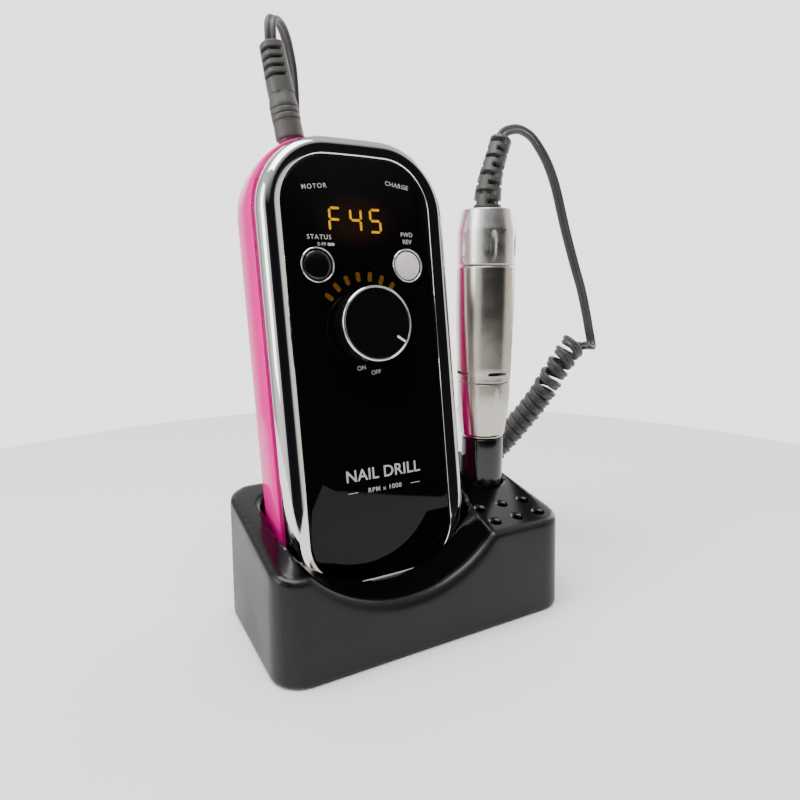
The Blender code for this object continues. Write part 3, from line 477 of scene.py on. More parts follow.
def make_finishes():
    """Every finish, by its plain name."""
    return {
        "charcoal": charcoal_abs(),
        # Gloss ABS, pigmented pink: an even colour under a clear wet-looking skin with faint flow waves.
        "pink": finish("gloss_pink_abs", ("#ee0090", "#e20088"), 90, (0.10, 0.16), 30, 6, 0.0015, IOR=1.27),
        # Bright chrome on ABS: a mirror with the slightest smears.
        "chrome": finish("bright_chrome", ("#e4e2e2", "#dcdadc"), 60, (0.03, 0.06), 12, 4, 0.0003,
                         Metallic=1.0),
        "acrylic": lit_panel(),
        # Gloss black ABS of the knob and the socket tube.
        "black": finish("gloss_black_abs", ("#08090c", "#0d0d10"), 40, (0.07, 0.12), 15, 3, 0.0006, IOR=1.53),
        # Pearl-white gloss ABS of the direction button.
        "white": finish("pearl_white_abs", ("#e9e4e0", "#e2dcd8"), 10, (0.12, 0.2), 5, 1, 0.0005, IOR=1.53),
        # Satin anodised aluminium, turned: a fine grain, finer down the barrel, drawn 0.5 mm across to show.
        "satin": finish("satin_anodised_aluminium", ("#c6c1b7", "#b4afa6"), 1.3, (0.22, 0.27), 6, 0.5, 0.03,
                        stretch=(1.0, 1.0, 1.6), Metallic=1.0),
        # Bead-blasted aluminium: an even frosted sparkle, drawn about 0.5 mm across to show.
        "blasted": finish("bead_blasted_aluminium", ("#eae8e4", "#d4d2ce"), 1.1, (0.26, 0.36), 4, 0.5, 0.018,
                          Metallic=1.0),
        # Nickel plate: a warm, slightly soft mirror.
        "nickel": finish("nickel_plate", ("#d0c9bd", "#c6bfb4"), 20, (0.12, 0.2), 6, 0.8, 0.0008,
                         Metallic=1.0),
        # Zinc-plated steel: pale, mottled and dull.
        "zinc": finish("zinc_plated_steel", ("#b4b5b2", "#9c9e9c"), 3, (0.3, 0.45), 4, 0.6, 0.004,
                       Metallic=1.0),
        # Flexible PVC of the cord: dark grey, matt with a soft sheen.
        "cord": finish("dark_grey_pvc", ("#3a3a39", "#313130"), 14, (0.42, 0.52), 6, 0.35, 0.006, IOR=1.52,
                       Sheen_Weight=0.15),
        # The plug's and strain reliefs' harder PVC, a shade lighter.
        "plug": finish("mid_grey_pvc", ("#52514e", "#474643"), 9, (0.45, 0.58), 5, 0.3, 0.010, IOR=1.52),
        "relief": finish("grey_pvc_relief", ("#4a4a48", "#403f3d"), 9, (0.40, 0.5), 5, 0.3, 0.008, IOR=1.52),
        # Screen-printed ink, light grey, with slightly uneven cover.
        "ink": finish("pale_grey_ink", ("#c9cac6", "#a9aaa8"), 0.8, (0.5, 0.6), 2, 0.2, 0.001),
        # Enamel filled into the knob's groove: clean white.
        "pointer": finish("white_enamel_fill", ("#f2f0ec", "#e6e4e0"), 2, (0.3, 0.4), 2, 0.3, 0.001),
        # Amber lamps behind the window: the digits are bright, the bars dim.
        "digits": lamp("amber_digits", "#ffbc00", 1.0),
        "bars": lamp("dim_amber_bars", "#c08000", 0.20),
        # Moulded rubber: matt black with a fine grain.
        "rubber": finish("black_rubber", ("#161616", "#1e1e1e"), 5, (0.75, 0.9), 3, 0.5, 0.03, IOR=1.52),
        # Solder-masked glass laminate, the battery's shrink wrap and a tinted light guide, all out of sight.
        "laminate": finish("green_glass_laminate", ("#0c5a2a", "#0a4a24"), 4, (0.3, 0.45), 3, 0.4, 0.01),
        "wrap": finish("blue_shrink_wrap", ("#1c4fa0", "#184488"), 12, (0.25, 0.4), 8, 1.5, 0.01),
        "clear": finish("amber_tinted_polycarbonate", ("#d8912a", "#c4801e"), 4, (0.15, 0.25), 3, 0.5, 0.002),
    }


# --- outlines ---
def corner_arc(cx, cy, radius, start, steps):
    angles = [start + math.pi / 2 * k / steps for k in range(steps + 1)]
    return [(cx + radius * math.cos(a), cy + radius * math.sin(a)) for a in angles]


def rounded_rect(half_w, half_d, radius, steps=12):
    x, y = half_w - radius, half_d - radius
    return (corner_arc(x, y, radius, 0.0, steps) + corner_arc(-x, y, radius, math.pi / 2, steps)
            + corner_arc(-x, -y, radius, math.pi, steps) + corner_arc(x, -y, radius, 1.5 * math.pi, steps))


def box_outline(shape, grow, z, steps=18):
    """The control box's rounded outline, grown or shrunk all round, at depth z."""
    half_w = shape["half_w"] + grow
    r_top, r_low = shape["r_top"] + grow, shape["r_bottom"] + grow
    x_top, y_top = half_w - r_top, shape["top"] + grow - r_top
    x_low, y_low = half_w - r_low, shape["bottom"] - grow + r_low
    across = [1 - k / 5 for k in range(1, 10)]
    points = corner_arc(x_top, y_top, r_top, 0.0, steps)
    points += [(x * x_top, y_top + r_top) for x in across]
    points += corner_arc(-x_top, y_top, r_top, math.pi / 2, steps)
    points += corner_arc(-x_low, y_low, r_low, math.pi, steps)
    points += [(-x * x_low, y_low - r_low) for x in across]
    points += corner_arc(x_low, y_low, r_low, 1.5 * math.pi, steps)
    outline = []
    for x, y in points:
        bulge = CROWN * (1 - (x / half_w) ** 2)
        outline.append((x, y + (bulge if y > y_top else -bulge if y < y_low else 0.0), z))
    return outline


# --- cradle ---
def stand_top(y):
    return STAND_FRONT_H + (y + STAND_D / 2) * STAND_SLOPE


def stand_loop(inset, below_top=None, z=None):
    outline = rounded_rect(STAND_W / 2 - inset, STAND_D / 2 - inset, STAND_CORNER_R - inset)
    return [(x, y, stand_top(y) - below_top if z is None else z) for x, y in outline]


def stand_block():
    """The cradle's drafted block with a rounded top edge and a recess underneath."""
    wall = STAND_W / 2 - RECESS_WALL, STAND_D / 2 - RECESS_WALL, STAND_CORNER_R - RECESS_WALL
    loops = [[(x, y, z) for x, y in rounded_rect(*wall)] for z in (RECESS_Z, STAND_FOOT_Z)]
    loops += [stand_loop(0.4 * MM, z=STAND_FOOT_Z), stand_loop(0.0, z=STAND_FOOT_Z + 0.5 * MM)]
    for c, s in quarter_round(6):
        loops.append(stand_loop(STAND_DRAFT + STAND_EDGE * (1 - c), STAND_EDGE * (1 - s)))
    return bridged(loops)


def pocket_space():
    """The space that the control box stands in, open at the top."""
    tall = dict(BEZEL, top=-40.0 * MM)
    sections = [(2.2 * MM, 0.0), (-7.0 * MM, 0.0), (-12.5 * MM, SHELL_BULGE), (-24.0 * MM, SHELL_BULGE)]
    reach = SHELL_BACK_R + POCKET_CLEARANCE
    loops = [box_outline(tall, grow + POCKET_CLEARANCE, z) for z, grow in sections]
    for c, s in quarter_round(8, 1):
        loops.append(box_outline(tall, SHELL_BULGE - SHELL_BACK_R + reach * c, -24.0 * MM - reach * s))
    bm = bridged(loops)
    bm.transform(BOX)
    return bm


def pocket_mouth():
    """The flared lip round the pocket's opening."""
    half_w, half_d, middle_y = 42.6 * MM, 18.2 * MM, 6.4 * MM
    loops = []
    for c, s in quarter_round(8):
        flare, drop = 2.6 * MM * (1 - c), 5.0 * MM * (1 - s)
        outline = rounded_rect(half_w + flare, half_d + flare, 9.0 * MM + flare)
        loops.append([(x + KNOB.x, y + middle_y, stand_top(y + middle_y) - drop) for x, y in outline])
    loops.append([(x, y, z + 8.0 * MM) for x, y, z in loops[-1]])
    return bridged(loops)


def scoop_space():
    """The round scoop through the front wall, with its rim rolled over."""
    front = -STAND_D / 2
    profile = [(0.0, SCOOP["back"]), (SCOOP["radius"], SCOOP["back"])]
    for c, s in quarter_round(8):
        profile.append((SCOOP["radius"] + SCOOP["roll"] * (1 - c),
                        front + STAND_DRAFT + SCOOP["roll"] * (1 - s)))
    profile += [(SCOOP["radius"] + SCOOP["roll"], front - 5 * MM), (0.0, front - 5 * MM)]
    bm = spun(profile, 180, radius=0.0)
    bm.transform(Matrix.Translation((SCOOP["x"], 0.0, SCOOP["z"])) @ UPWARDS)
    return bm


def make_stand():
    body = plain_object("cradle_moulding", stand_block(), None)
    bore = spun([(0, 90 * MM), (SOCKET_R + 0.3 * MM, 90 * MM), (SOCKET_R + 0.3 * MM, 22 * MM), (0, 22 * MM)])
    bore.transform(HAND)
    spaces = (pocket_space(), pocket_mouth(), scoop_space(), bore)
    carved(body, [plain_object(f"space_{i}", space, None) for i, space in enumerate(spaces)])
    voxels = body.modifiers.new("voxels", "REMESH")
    voxels.mode = "VOXEL"
    voxels.voxel_size = VOXEL
    carved(body, [])
    bm = bmesh.new()
    bm.from_mesh(body.data)
    for _ in range(4):
        bmesh.ops.smooth_vert(bm, verts=bm.verts[:], factor=0.5, use_axis_x=True, use_axis_y=True,
                              use_axis_z=True)
    bm.to_mesh(body.data)
    bm.free()
    holes = []
    for y in BIT_HOLE_Y:
        for x in BIT_HOLE_X:
            top = stand_top(y)
            r, rim = BIT_HOLE_R, 0.5 * MM
            hole = spun([(0, top + 4 * MM), (r + rim * 9, top + 4 * MM), (r, top - rim), (r, 20 * MM),
                         (0, 20 * MM)], 40, radius=0.4 * MM)
            hole.transform(Matrix.Translation((x, y, 0)))
            holes.append(plain_object(f"bit_hole_{len(holes)}", hole, None))
    carved(body, holes)
    dressed(body, FINISH["charcoal"], 40, "stand", "stand_shell")


def make_socket():
    low, lip, bore = SOCKET_LOW.z, 0.8 * MM, 7.9 * MM
    profile = [(0.0, low + 2.2 * MM), (bore, low + 2.2 * MM), (bore, SOCKET_TOP), (SOCKET_R, SOCKET_TOP),
               (SOCKET_R, low), (0.0, low)]
    piece("socket_tube", spun(profile, radius=lip), FINISH["black"], "stand", ["handpiece_socket"], HAND)


# --- control box ---
def make_rear_shell():
    """The pink back: a bulging side, a rounded rear edge, a wall of even thickness, screw holes and ports."""
    sections = [(SHELL_FRONT, 0.3 * MM), (SHELL_FRONT - 0.5 * MM, 0.7 * MM), (-12.0 * MM, SHELL_BULGE * 0.78),
                (-15.0 * MM, SHELL_BULGE * 0.95), (-20.0 * MM, SHELL_BULGE)]
    start = SHELL_BACK + SHELL_BACK_R

    def rounds(offset):
        reach = SHELL_BACK_R + offset
        return [(start - reach * s, SHELL_BULGE - 0.1 * MM - SHELL_BACK_R + reach * c)
                for c, s in quarter_round(12)]

    outer = sections + rounds(0.0)
    inner = [(z - 0.4 * MM, grow - SHELL_WALL) for z, grow in sections] + rounds(-SHELL_WALL)
    loops = [box_outline(SHELL, grow, z) for z, grow in outer[::-1] + inner]
    shell = plain_object("pink_rear_shell", bridged(loops), None)
    shell.data.transform(BOX)
    cutters = []
    for i, (x, y) in enumerate(BOSS_XY):
        recess = spun(mm((0, 0), (3.4, 0), (2.9, 1.0), (2.9, 5.0), (0, 5)), 48)
        recess.transform(BOX @ Matrix.Translation((x, y, SHELL_BACK - 0.2 * MM)))
        cutters.append(plain_object(f"recess_{i}", recess, None))
    for i, (place, radius) in enumerate(((JACK, 5.1 * MM), (CHARGE, 5.3 * MM))):
        port = spun([(0, 6 * MM), (radius, 6 * MM), (radius, -8 * MM), (0, -8 * MM)], 64)
        port.transform(BOX @ place @ UPWARDS)
        cutters.append(plain_object(f"port_{i}", port, None))
    carved(shell, cutters)
    dressed(shell, FINISH["pink"], 35, "control_box", "rear_shell")


def make_bezel():
    """Chromed band: a flat side, a tight outer edge, and a face that dips in towards the panel."""

    def between(share, z):
        shape = {key: PANEL[key] + (BEZEL[key] - PANEL[key]) * share for key in PANEL}
        return box_outline(shape, 0.0, z * MM)

    section = [(0.70, -8.6), (0.95, -8.9), (1.0, -8.5), (1.0, -4.4)]
    section += [(0.48 + 0.52 * c, -4.4 + 5.6 * s) for c, s in quarter_round(14, 1)]
    section += [(0.40, 1.15), (0.32, 1.0), (0.24, 0.82), (0.16, 0.6), (0.10, 0.4), (0.06, 0.22),
                (0.035, 0.0), (0.04, -2.2), (0.06, -6.0)]
    bm = bridged([between(share, z) for share, z in section], hollow=True)
    piece("chrome_band", bm, FINISH["chrome"], "control_box", ["chrome_front_housing"], BOX, sharp=50)


def make_panel():
    edge = 0.35 * MM
    loops = [box_outline(PANEL, 0.0, z) for z in (-2.0 * MM, -edge)]
    loops += [box_outline(PANEL, -edge * (1 - c), -edge * (1 - s)) for c, s in quarter_round(4, 1)]
    piece("smoked_panel", bridged(loops), FINISH["acrylic"], "control_box", ["front_panel"], BOX)


def words(text, height, centre, turn=0.0, weight=0.0, spacing=1.0):
    """One printed word as a thin solid on the panel."""
    data = bpy.data.curves.new("word", "FONT")
    data.body = text
    data.size = height / 0.69
    data.align_x = "CENTER"
    data.align_y = "CENTER"
    data.extrude = PRINT_LIFT / 2
    data.offset = weight
    data.space_character = spacing
    data.resolution_u = 4
    obj = placed("word", data)
    bpy.context.view_layer.update()
    mesh = bpy.data.meshes.new_from_object(obj.evaluated_get(bpy.context.evaluated_depsgraph_get()))
    bpy.data.objects.remove(obj, do_unlink=True)
    bm = bmesh.new()
    bm.from_mesh(mesh)
    bmesh.ops.remove_doubles(bm, verts=bm.verts[:], dist=0.001 * MM)
    spot = Matrix.Translation((centre[0] * MM, centre[1] * MM, PRINT_LIFT / 2))
    bm.transform(spot @ Matrix.Rotation(math.radians(turn), 4, "Z"))
    return bm


def stroke(length, thick, centre, turn=0.0):
    """A thin printed bar on the panel."""
    spot = (centre[0] * MM, centre[1] * MM, PRINT_LIFT / 2)
    return block((length * MM, thick * MM, PRINT_LIFT), spot, Matrix.Rotation(math.radians(turn), 4, "Z"))


def plate(outline):
    """A thin lit shape on the panel."""
    return bridged([[(x, y, z) for x, y in outline] for z in (0.0, PRINT_LIFT)])


def make_legends():
    small, weight = 1.75 * MM, 0.02 * MM
    parts = [words("MOTOR", small, (-18.2, 53.9), 7, weight, 1.25),
             words("CHARGE", small, (18.0, 56.4), -8, weight, 1.12),
             words("STATUS", small, (-17.8, 34.7), 0, weight, 1.2), words("0-99", 1.35 * MM, (-17.0, 32.0)),
             words("FWD", small, (21.0, 36.6), 0, weight), words("REV", small, (21.0, 33.7), 0, weight),
             words("ON", small, (-4.4, -16.9), 6, weight), words("OFF", small, (1.9, -19.0), 4, weight),
             words("NAIL DRILL", 4.6 * MM, (1.7, -60.0), 0, 0.08 * MM, 1.02),
             words("RPM x 1000", 1.9 * MM, (1.7, -66.6), 0, weight, 1.15)]
    parts += [stroke(4.4, 0.28, (x, -66.6)) for x in (-12.6, 16.0)]
    parts += [stroke(2.6, 1.1, (-13.2, 32.0)), stroke(0.3, 0.5, (-11.7, 32.0))]
    piece("printed_legends", merged(parts), FINISH["ink"], "control_box", matrix=BOX, slot="white_inlay")


def make_digits():
    """Three seven-bar digits, lit amber."""
    half_w, half_h, thick, gap = 2.25, 4.4, 1.15, 0.5
    bars = {"a": (0, half_h, 0), "g": (0, 0, 0), "d": (0, -half_h, 0), "f": (-half_w, half_h / 2, 90),
            "b": (half_w, half_h / 2, 90), "e": (-half_w, -half_h / 2, 90), "c": (half_w, -half_h / 2, 90)}
    lean = 0.05
    parts = []
    for letters, x in (("afge", -10.6), ("fgbc", -1.7), ("afgcd", 7.0)):
        for letter in letters:
            bx, by, turn = bars[letter]
            length = (half_w * 2 if turn == 0 else half_h) - gap
            tip = thick / 2 - 0.1
            end = length / 2
            bar = plate(mm((-end, 0), (-end + tip, tip), (end - tip, tip), (end, 0), (end - tip, -tip),
                           (-end + tip, -tip)))
            bar.transform(Matrix.Translation(((x + bx + by * lean) * MM, (41.7 + by) * MM, 0))
                          @ Matrix.Rotation(math.radians(turn), 4, "Z"))
            parts.append(bar)
    piece("lit_digits", merged(parts), FINISH["digits"], "control_box", matrix=BOX, slot="amber_led")


def make_bars():
    """The arc of dim amber bars round the knob."""
    parts = []
    for i in range(7):
        angle = math.radians(143.5 - 15.2 * i)
        bar = plate(rounded_rect(0.95 * MM, 2.0 * MM, 0.9 * MM, 5))
        bar.transform(Matrix.Rotation(angle - math.pi / 2, 4, "Z") @ Matrix.Translation((0, BARS_R, 0)))
        parts.append(bar)
    piece("lit_bars", merged(parts), FINISH["bars"], "control_box", matrix=BOX, slot="amber_led")


def make_buttons():
    looks = {"status": "black", "direction": "white"}
    for name, (x, y) in BUTTONS.items():
        place = BOX @ Matrix.Translation((x, y, 0))
        collar = spun(mm((6.2, -4.0), (6.2, 0.5), (6.45, 0.85), (6.85, 0.7), (7.0, 0.2), (7.0, -4.0)),
                      closed=True, radius=0.25 * MM)
        piece(f"{name}_collar", collar, FINISH["chrome"], "control_box", [f"{name}_button_ring"], place)
        dome = mm((0, 1.15), (2.5, 1.1), (4.6, 0.9), (5.6, 0.5), (5.9, -0.1), (5.9, -4.2), (0, -4.2))
        piece(f"{name}_cap", spun(dome, radius=0.5 * MM), FINISH[looks[name]], f"{name}_button",
              [f"{name}_button_cap"], place)


def make_knob():
    step = 13.9 * MM
    cap = [(0, KNOB_FACE - 0.15 * MM), (8 * MM, KNOB_FACE - 0.1 * MM), (step, KNOB_FACE), (step, 8.2 * MM),
           (KNOB_R, 8.2 * MM), (KNOB_R, 3.0 * MM), (KNOB_R + 0.1 * MM, 0.6 * MM), (4 * MM, 0.6 * MM),
           (4 * MM, 6.0 * MM), (0, 6.0 * MM)]
    piece("knob_body", spun(cap, 128, radius=0.35 * MM), FINISH["black"], "speed_knob", ["knob_cap"], BOX)
    trim = [(step + 0.02 * MM, 8.25 * MM), (step + 0.02 * MM, 9.45 * MM), (14.3 * MM, 9.6 * MM),
            (14.85 * MM, 9.2 * MM), (14.98 * MM, 8.25 * MM)]
    piece("knob_trim", spun(trim, 128, True, 0.3 * MM), FINISH["chrome"], "speed_knob", ["knob_trim_ring"],
          BOX)
    turn = Matrix.Rotation(POINTER_ANGLE, 4, "Z")
    line = block((4.2 * MM, 0.85 * MM, 0.3 * MM), (11.7 * MM, 0, KNOB_FACE + 0.02 * MM), None, 0.1 * MM)
    piece("knob_line", line, FINISH["pointer"], "speed_knob", ["knob_pointer"], BOX @ turn)


def slotted_sleeve(points, radius_at, slots, slot_depth, flatness=2.0, step=0.28 * MM, sides=56):
    """A flexible sleeve along a curve, with slots: (distance along it, quarter turns, half width)."""
    line = even(points, step)
    frames = carried_frames(line, Vector((1, 0, 0)))
    loops, along = [], 0.0
    for i, (centre, (across, off)) in enumerate(zip(line, frames)):
        along += (line[i] - line[i - 1]).length if i else 0.0
        loop = []
        for k in range(sides):
            angle = math.tau * k / sides
            c, s = math.cos(angle), math.sin(angle)
            radius = radius_at(along) / (abs(c) ** flatness + abs(s) ** flatness) ** (1 / flatness)
            for place, quarter, half in slots:
                inside = 1 - step_up(abs(along - place), half - 0.12 * MM, half + 0.2 * MM)
                facing = abs(math.cos(angle - quarter * math.pi / 2))
                radius -= slot_depth * inside * step_up(facing, 0.42, 0.56)
            loop.append(centre + across * (radius * c) + off * (radius * s))
        loops.append(loop)
    return bridged(loops)


def make_plug():
    place = BOX @ JACK @ UPWARDS
    body = mm((0, -0.6), (4.9, -0.6), (4.9, 0.8), (5.4, 0.9), (5.75, 1.5), (5.6, 7.2))
    for z in (7.6, 10.0, 12.4):
        body += mm((5.75, z), (5.3, z + 0.15), (5.3, z + 0.45), (5.75, z + 0.6), (5.8, z + 1.4))
    body += mm((5.7, 14.6), (5.2, 17.4), (5.1, 18.6), (0, 18.6))
    piece("plug_moulding", spun(body, radius=0.35 * MM), FINISH["plug"], "control_box", ["plug_body"], place)
    low, high = 18.3 * MM, 38.0 * MM
    line = [place @ Vector((0, 0, low + (high - low) * k / 4)) for k in range(5)]

    def radius_at(s):
        waist = 5.05 * MM - 0.35 * MM * step_up(s, 4.0 * MM, 19.0 * MM)
        return waist - 0.7 * MM * step_up(s, 19.1 * MM, 19.7 * MM)

    slots = [((6.6 + 3.25 * k) * MM, 0.57, 0.6 * MM) for k in range(4)]
    sleeve = slotted_sleeve(line, radius_at, slots, 2.0 * MM, 2.6)
    return piece("plug_sleeve", sleeve, FINISH["plug"], "control_box", ["plug_strain_relief"])


def make_jacks():
    for name, node, place, outer, bore in (("jack_ring", "handpiece_jack", JACK, 4.8 * MM, 1.95 * MM),
                                           ("inlet_ring", "charge_jack", CHARGE, 5.0 * MM, 2.8 * MM)):
        top, floor, low = -1.4 * MM, -11 * MM, -14 * MM
        profile = [(0, floor), (bore, floor), (bore, top), (outer, top), (outer, low), (0, low)]
        piece(name, spun(profile, 64), FINISH["rubber"], "control_box", [node], BOX @ place @ UPWARDS)
    pin = spun(mm((0, -3), (0.8, -3), (0.8, -11.2), (0, -11.2)), 32, radius=0.4 * MM)
    piece("inlet_pin", pin, FINISH["nickel"], "control_box", matrix=BOX @ CHARGE @ UPWARDS,
          slot="nickel_plate")


# --- handpiece ---
def dished(bm, count, first, low, high, half_width, depth, radius):
    """Press long oval hollows into a turned skin of about that radius, the first of them at that bearing."""
    middle, half = (low + high) / 2, (high - low) / 2
    for vert in bm.verts:
        reach = math.hypot(vert.co.x, vert.co.y)
        if reach < radius * 0.8 or not low < vert.co.z < high:
            continue
        bearing = math.atan2(vert.co.y, vert.co.x)
        for i in range(count):
            off = (bearing - first - math.tau * i / count + math.pi) % math.tau - math.pi
            far = math.hypot(off * reach / half_width, (vert.co.z - middle) / half)
            if far < 1.0:
                shrink = 1 - depth * (1 - far * far) / reach
                vert.co.x *= shrink
                vert.co.y *= shrink


def banded(profile_z, radius_of):
    """Evenly spaced profile points between heights, for a skin that will be dished."""
    low, high = profile_z
    count = max(2, round((high - low) / (0.55 * MM)))
    heights = [low + (high - low) * k / count for k in range(count + 1)]
    return [(radius_of(z), z) for z in heights]


def make_rear_cap():
    low, high = CAP_Z
    shoulder = high - 9.0 * MM

    def radius_of(z):
        return 13.1 * MM - 1.85 * MM * max(0.0, (z - shoulder) / (high - shoulder))

    outside = banded((low + 0.35 * MM, high - 0.4 * MM), radius_of)
    profile = [(5.2 * MM, low), (12.75 * MM, low)] + outside
    profile += [(10.8 * MM, high), (6.6 * MM, high), (6.4 * MM, high - 0.8 * MM), (5.2 * MM, high - 0.8 * MM)]
    bm = spun(profile, 144, True, 0.12 * MM)
    dished(bm, 6, math.radians(-112.6), low + 1.1 * MM, low + 14.6 * MM, 1.9 * MM, 0.95 * MM, 13 * MM)
    piece("blasted_rear_cap", bm, FINISH["blasted"], "handpiece", ["handpiece_rear_cap"], HAND, sharp=70.0)


def make_barrel():
    low, high = BARREL_Z

    def radius_of(z):
        return (12.25 + 0.3 * step_up(z, 98 * MM, 104 * MM) + 0.6 * step_up(z, 102 * MM, 129 * MM)) * MM

    outside = banded((low + 0.3 * MM, high - 0.3 * MM), radius_of)[::2]
    profile = ([(11.0 * MM, low), (11.9 * MM, low)] + outside
               + [(12.9 * MM, high - 0.15 * MM), (12.7 * MM, high), (11.0 * MM, high)])
    barrel = plain_object("satin_barrel", spun(profile, 160, True, 0.1 * MM), None)
    barrel.data.transform(HAND)
    slots = []
    for i in range(4):
        turn = Matrix.Rotation(math.radians(-94 + 90 * i), 4, "Z")
        slot = block((4 * MM, 9.8 * MM, 1.5 * MM), (0, 0, 0), None, 0.3 * MM)
        slot.transform(HAND @ turn @ Matrix.Translation((12.4 * MM, 0, low + 4.2 * MM)))
        slots.append(plain_object(f"vent_{i}", slot, None))
    carved(barrel, slots)
    dressed(barrel, FINISH["satin"], 35, "handpiece", "handpiece_barrel")


def make_sleeve():
    low, high = SLEEVE_Z

    def radius_of(z):
        return (9.55 + 2.6 * step_up(z, low - 12 * MM, high - 4 * MM) ** 1.1) * MM

    outside = banded((low + 1.6 * MM, high - 0.3 * MM), radius_of)
    profile = ([(7.6 * MM, low + 1.2 * MM), (9.3 * MM, low + 1.2 * MM)] + outside
               + [(11.9 * MM, high - 0.1 * MM), (11.7 * MM, high), (10.2 * MM, high), (10.2 * MM, 80.1 * MM),
                  (7.6 * MM, 79.8 * MM)])
    bm = spun(profile, 144, True, 0.12 * MM)
    dished(bm, 5, math.radians(-95.6), low - 18 * MM, high - 1.8 * MM, 2.4 * MM, 0.6 * MM, 11 * MM)
    piece("fluted_nose_sleeve", bm, FINISH["satin"], "nose_sleeve", ["nose_sleeve"], HAND)
    lip = [(7.6 * MM, low), (9.3 * MM, low), (9.75 * MM, low + 0.4 * MM), (9.7 * MM, low + 1.0 * MM),
           (7.6 * MM, low + 1.0 * MM)]
    piece("nose_lip", spun(lip, 96, True, 0.25 * MM), FINISH["nickel"], "nose_sleeve", matrix=HAND,
          slot="nickel_plate")


def make_nose_tip():
    tip = mm((8.4, 96.4), (9.9, 96.4), (9.9, 80.3), (7.2, 80.3), (7.2, 53), (5.6, 48), (4.0, 48), (5.2, 53),
             (5.2, 80.6), (8.4, 81.8))
    piece("turned_nose_tip", spun(tip, 96, True, 0.4 * MM), FINISH["nickel"], "handpiece", ["nose_tip"], HAND)


def make_hand_relief():
    line = curve_through(HAND_RELIEF_ROUTE)

    def radius_at(s):
        foot = 4.7 * MM + 1.4 * MM * step_up(s, 2.2 * MM, 3.2 * MM)
        return foot - 1.3 * MM * step_up(s, 3.0 * MM, 26.0 * MM) - 0.8 * MM * step_up(s, 33.2 * MM, 34.0 * MM)

    slots = [((5.0 + 3.75 * k) * MM, 0.26 + (k + 1) % 2, 0.8 * MM) for k in range(8)]
    sleeve = slotted_sleeve(line, radius_at, slots, 2.2 * MM)
    return piece("ribbed_strain_relief", sleeve, FINISH["relief"], "handpiece", ["handpiece_strain_relief"])


# --- cord ---
def curve_through(route):
    """Close points along a smooth curve through a route in millimetres."""
    knots = [Vector(point) * MM for point in route]
    knots = [2 * knots[0] - knots[1]] + knots + [2 * knots[-1] - knots[-2]]
    fine = []
    for a, b, c, d in zip(knots, knots[1:], knots[2:], knots[3:]):
        for i in range(24):
            t = i / 24
            fine.append(0.5 * (2 * b + (c - a) * t + (2 * a - 5 * b + 4 * c - d) * t * t
                               + (3 * b - a - 3 * c + d) * t ** 3))
    return fine + [knots[-2]]


def even(line, step):
    """The line again with points evenly spaced, about a step apart."""
    marks = [0.0]
    for a, b in zip(line, line[1:]):
        marks.append(marks[-1] + (b - a).length)
    count = max(2, round(marks[-1] / step))
    points, i = [], 1
    for k in range(count + 1):
        want = marks[-1] * k / count
        while i < len(line) - 1 and marks[i] < want:
            i += 1
        points.append(line[i - 1].lerp(line[i], (want - marks[i - 1]) / max(marks[i] - marks[i - 1], 1e-9)))
    return points


def headings(line):
    ends = [line[0]] + list(line) + [line[-1]]
    return [(c - a).normalized() for a, c in zip(ends, ends[2:])]


def carried_frames(line, first, wanted=None):
    """A pair of directions across the line at each point, carried along without twist, or eased round
    towards the wanted direction where that is given."""
    ways = headings(line)
    across = first
    frames = []
    for i, way in enumerate(ways):
        across = (across - way * across.dot(way)).normalized()
        if wanted and wanted[i]:
            goal = wanted[i] - way * wanted[i].dot(way)
            if goal.length > 0.3:
                goal = goal.normalized() * (1 if goal.dot(across) >= 0 else -1)
                across = across.lerp(goal, 0.12).normalized()
        frames.append((across, way.cross(across)))
    return frames


def wound(axis, side, turn):
    """A helix round the axis from that turn away from the side direction, closing in at its far end."""
    length = line_length(axis)
    frames = carried_frames(axis, side)
    along, points = 0.0, []
    for i, (centre, (across, off)) in enumerate(zip(axis, frames)):
        gap = (axis[i] - axis[i - 1]).length if i else 0.0
        along += gap
        pitch = COIL_OPEN_PITCH + (COIL_PITCH - COIL_OPEN_PITCH) * step_up(along, COIL_OPEN_LENGTH * 0.6,
                                                                          COIL_OPEN_LENGTH)
        turn -= math.tau * gap / pitch
        radius = COIL_MID_R * step_up(length - along, 0.0, 5 * MM)
        points.append(centre + (across * math.cos(turn) + off * math.sin(turn)) * radius)
    return points


def twin_cord(name, line, first, wanted=None):
    """The flat twin cord swept along the line."""
    section = []
    for side in (1, -1):
        for k in range(10):
            angle = math.radians(-145 + 290 * k / 9)
            section.append((side * (CORD_W / 2 - CORD_CORE_R + CORD_CORE_R * math.cos(angle)),
                            side * CORD_CORE_R * math.sin(angle)))
    bm = bmesh.new()
    before = None
    for centre, (across, off) in zip(line, carried_frames(line, first, wanted)):
        loop = [bm.verts.new(centre + across * x + off * y) for x, y in section]
        if before:
            for k in range(len(loop)):
                bm.faces.new((before[k - 1], before[k], loop[k], loop[k - 1]))
        else:
            bm.faces.new(loop)
        before = loop
    bm.faces.new(before)
    bmesh.ops.recalc_face_normals(bm, faces=bm.faces[:])
    return plain_object(name, bm, FINISH["cord"], 60)


def eased(line, middle, reach):
    """The line with the stretch round the middle point smoothed."""
    line = list(line)
    for _ in range(12):
        for i in range(middle - reach // 2, middle + reach):
            line[i] = (line[i - 1] + line[i] * 2 + line[i + 1]) / 4
    return line


def line_length(line):
    return sum((b - a).length for a, b in zip(line, line[1:]))


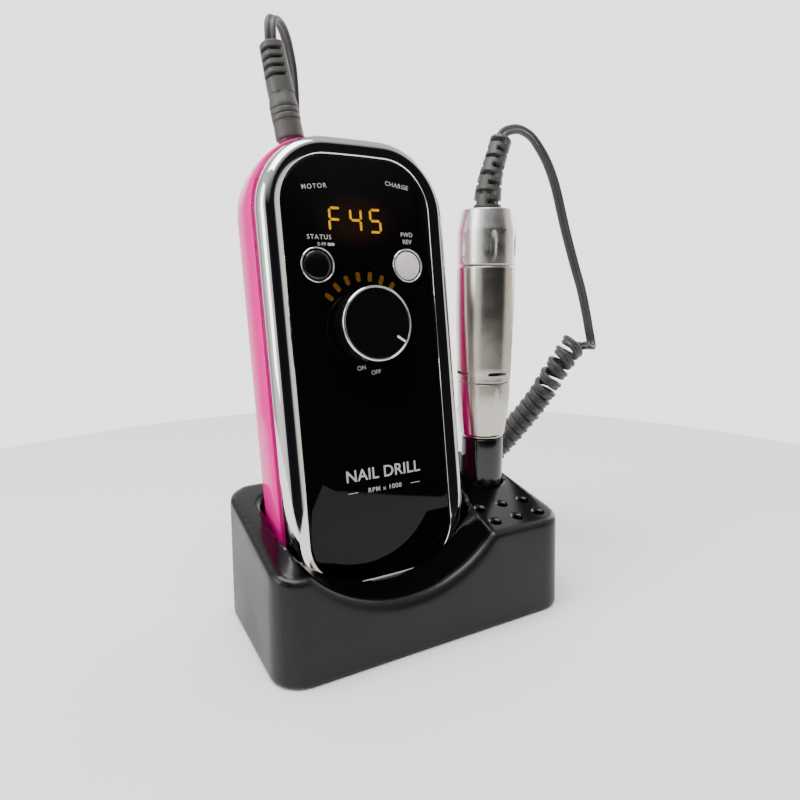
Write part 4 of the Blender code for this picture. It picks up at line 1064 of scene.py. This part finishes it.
def make_cords(ahead, plug_sleeve, hand_relief):
    """The curly cord with its lead, which faces the viewer, and the short lead from the plug."""
    axis = even(curve_through(COIL_ROUTE), 0.22 * MM)
    helix = wound(axis, Vector((0.78, 0.0, -0.63)), math.radians(60))
    lead = even(curve_through(HAND_LEAD_ROUTE + (helix[0] / MM,)), 1.0 * MM)
    line = lead + helix[1:]
    wanted = [way.cross(ahead) for way in headings(lead)] + headings(axis)[1:]
    line = eased(line, len(lead), 14)
    cord = twin_cord("curly_cord", line, wanted[0], wanted)
    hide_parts("cord_lead_handpiece", "cord_coil")
    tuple(line[len(lead)])
    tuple(line[0])
    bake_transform(cord)
    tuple(line[0])
    line_length(line)
    line = even(curve_through(BOX_LEAD_ROUTE), 1.0 * MM)
    lead = twin_cord("box_lead", line, Vector((1.0, -0.35, 0.0)))
    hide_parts("cord_lead_box")
    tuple(line[int(len(line) * 0.8)])
    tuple(line[0])
    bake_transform(lead)
    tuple(line[0])
    line_length(line)


# --- what stays as the frame made it ---
def dress_kept_nodes():
    looks = {
        "zinc": [f"{part}_screw_{i}" for part in ("stand", "shell") for i in (1, 2, 3, 4)]
                + ["stand_base_plate", "potentiometer_body", "motor", "front_bearing", "lock_spring"],
        "rubber": ["stand_rubber_pad", "status_switch", "direction_switch"],
        "nickel": ["plug_tip", "potentiometer_shaft", "spindle_shaft", "collet"],
        "laminate": ["main_board"],
        "wrap": ["battery_cell_left", "battery_cell_right"],
        "clear": ["led_light_guide"],
        "black": ["display_module"],
    }
    for look, nodes in looks.items():
        for name in nodes:
            mesh = frame["nodes"][name].data
            mesh.materials.clear()
            mesh.materials.append(FINISH[look])


FINISH = make_finishes()
view_ahead = make_camera()
make_cords(view_ahead, make_plug(), make_hand_relief())
for make in (make_stand, make_socket, make_rear_shell, make_bezel, make_panel, make_legends, make_digits,
             make_bars, make_buttons, make_knob, make_jacks, make_rear_cap, make_barrel, make_sleeve,
             make_nose_tip, dress_kept_nodes, make_studio):
    make()

bpy.context.view_layer.update()
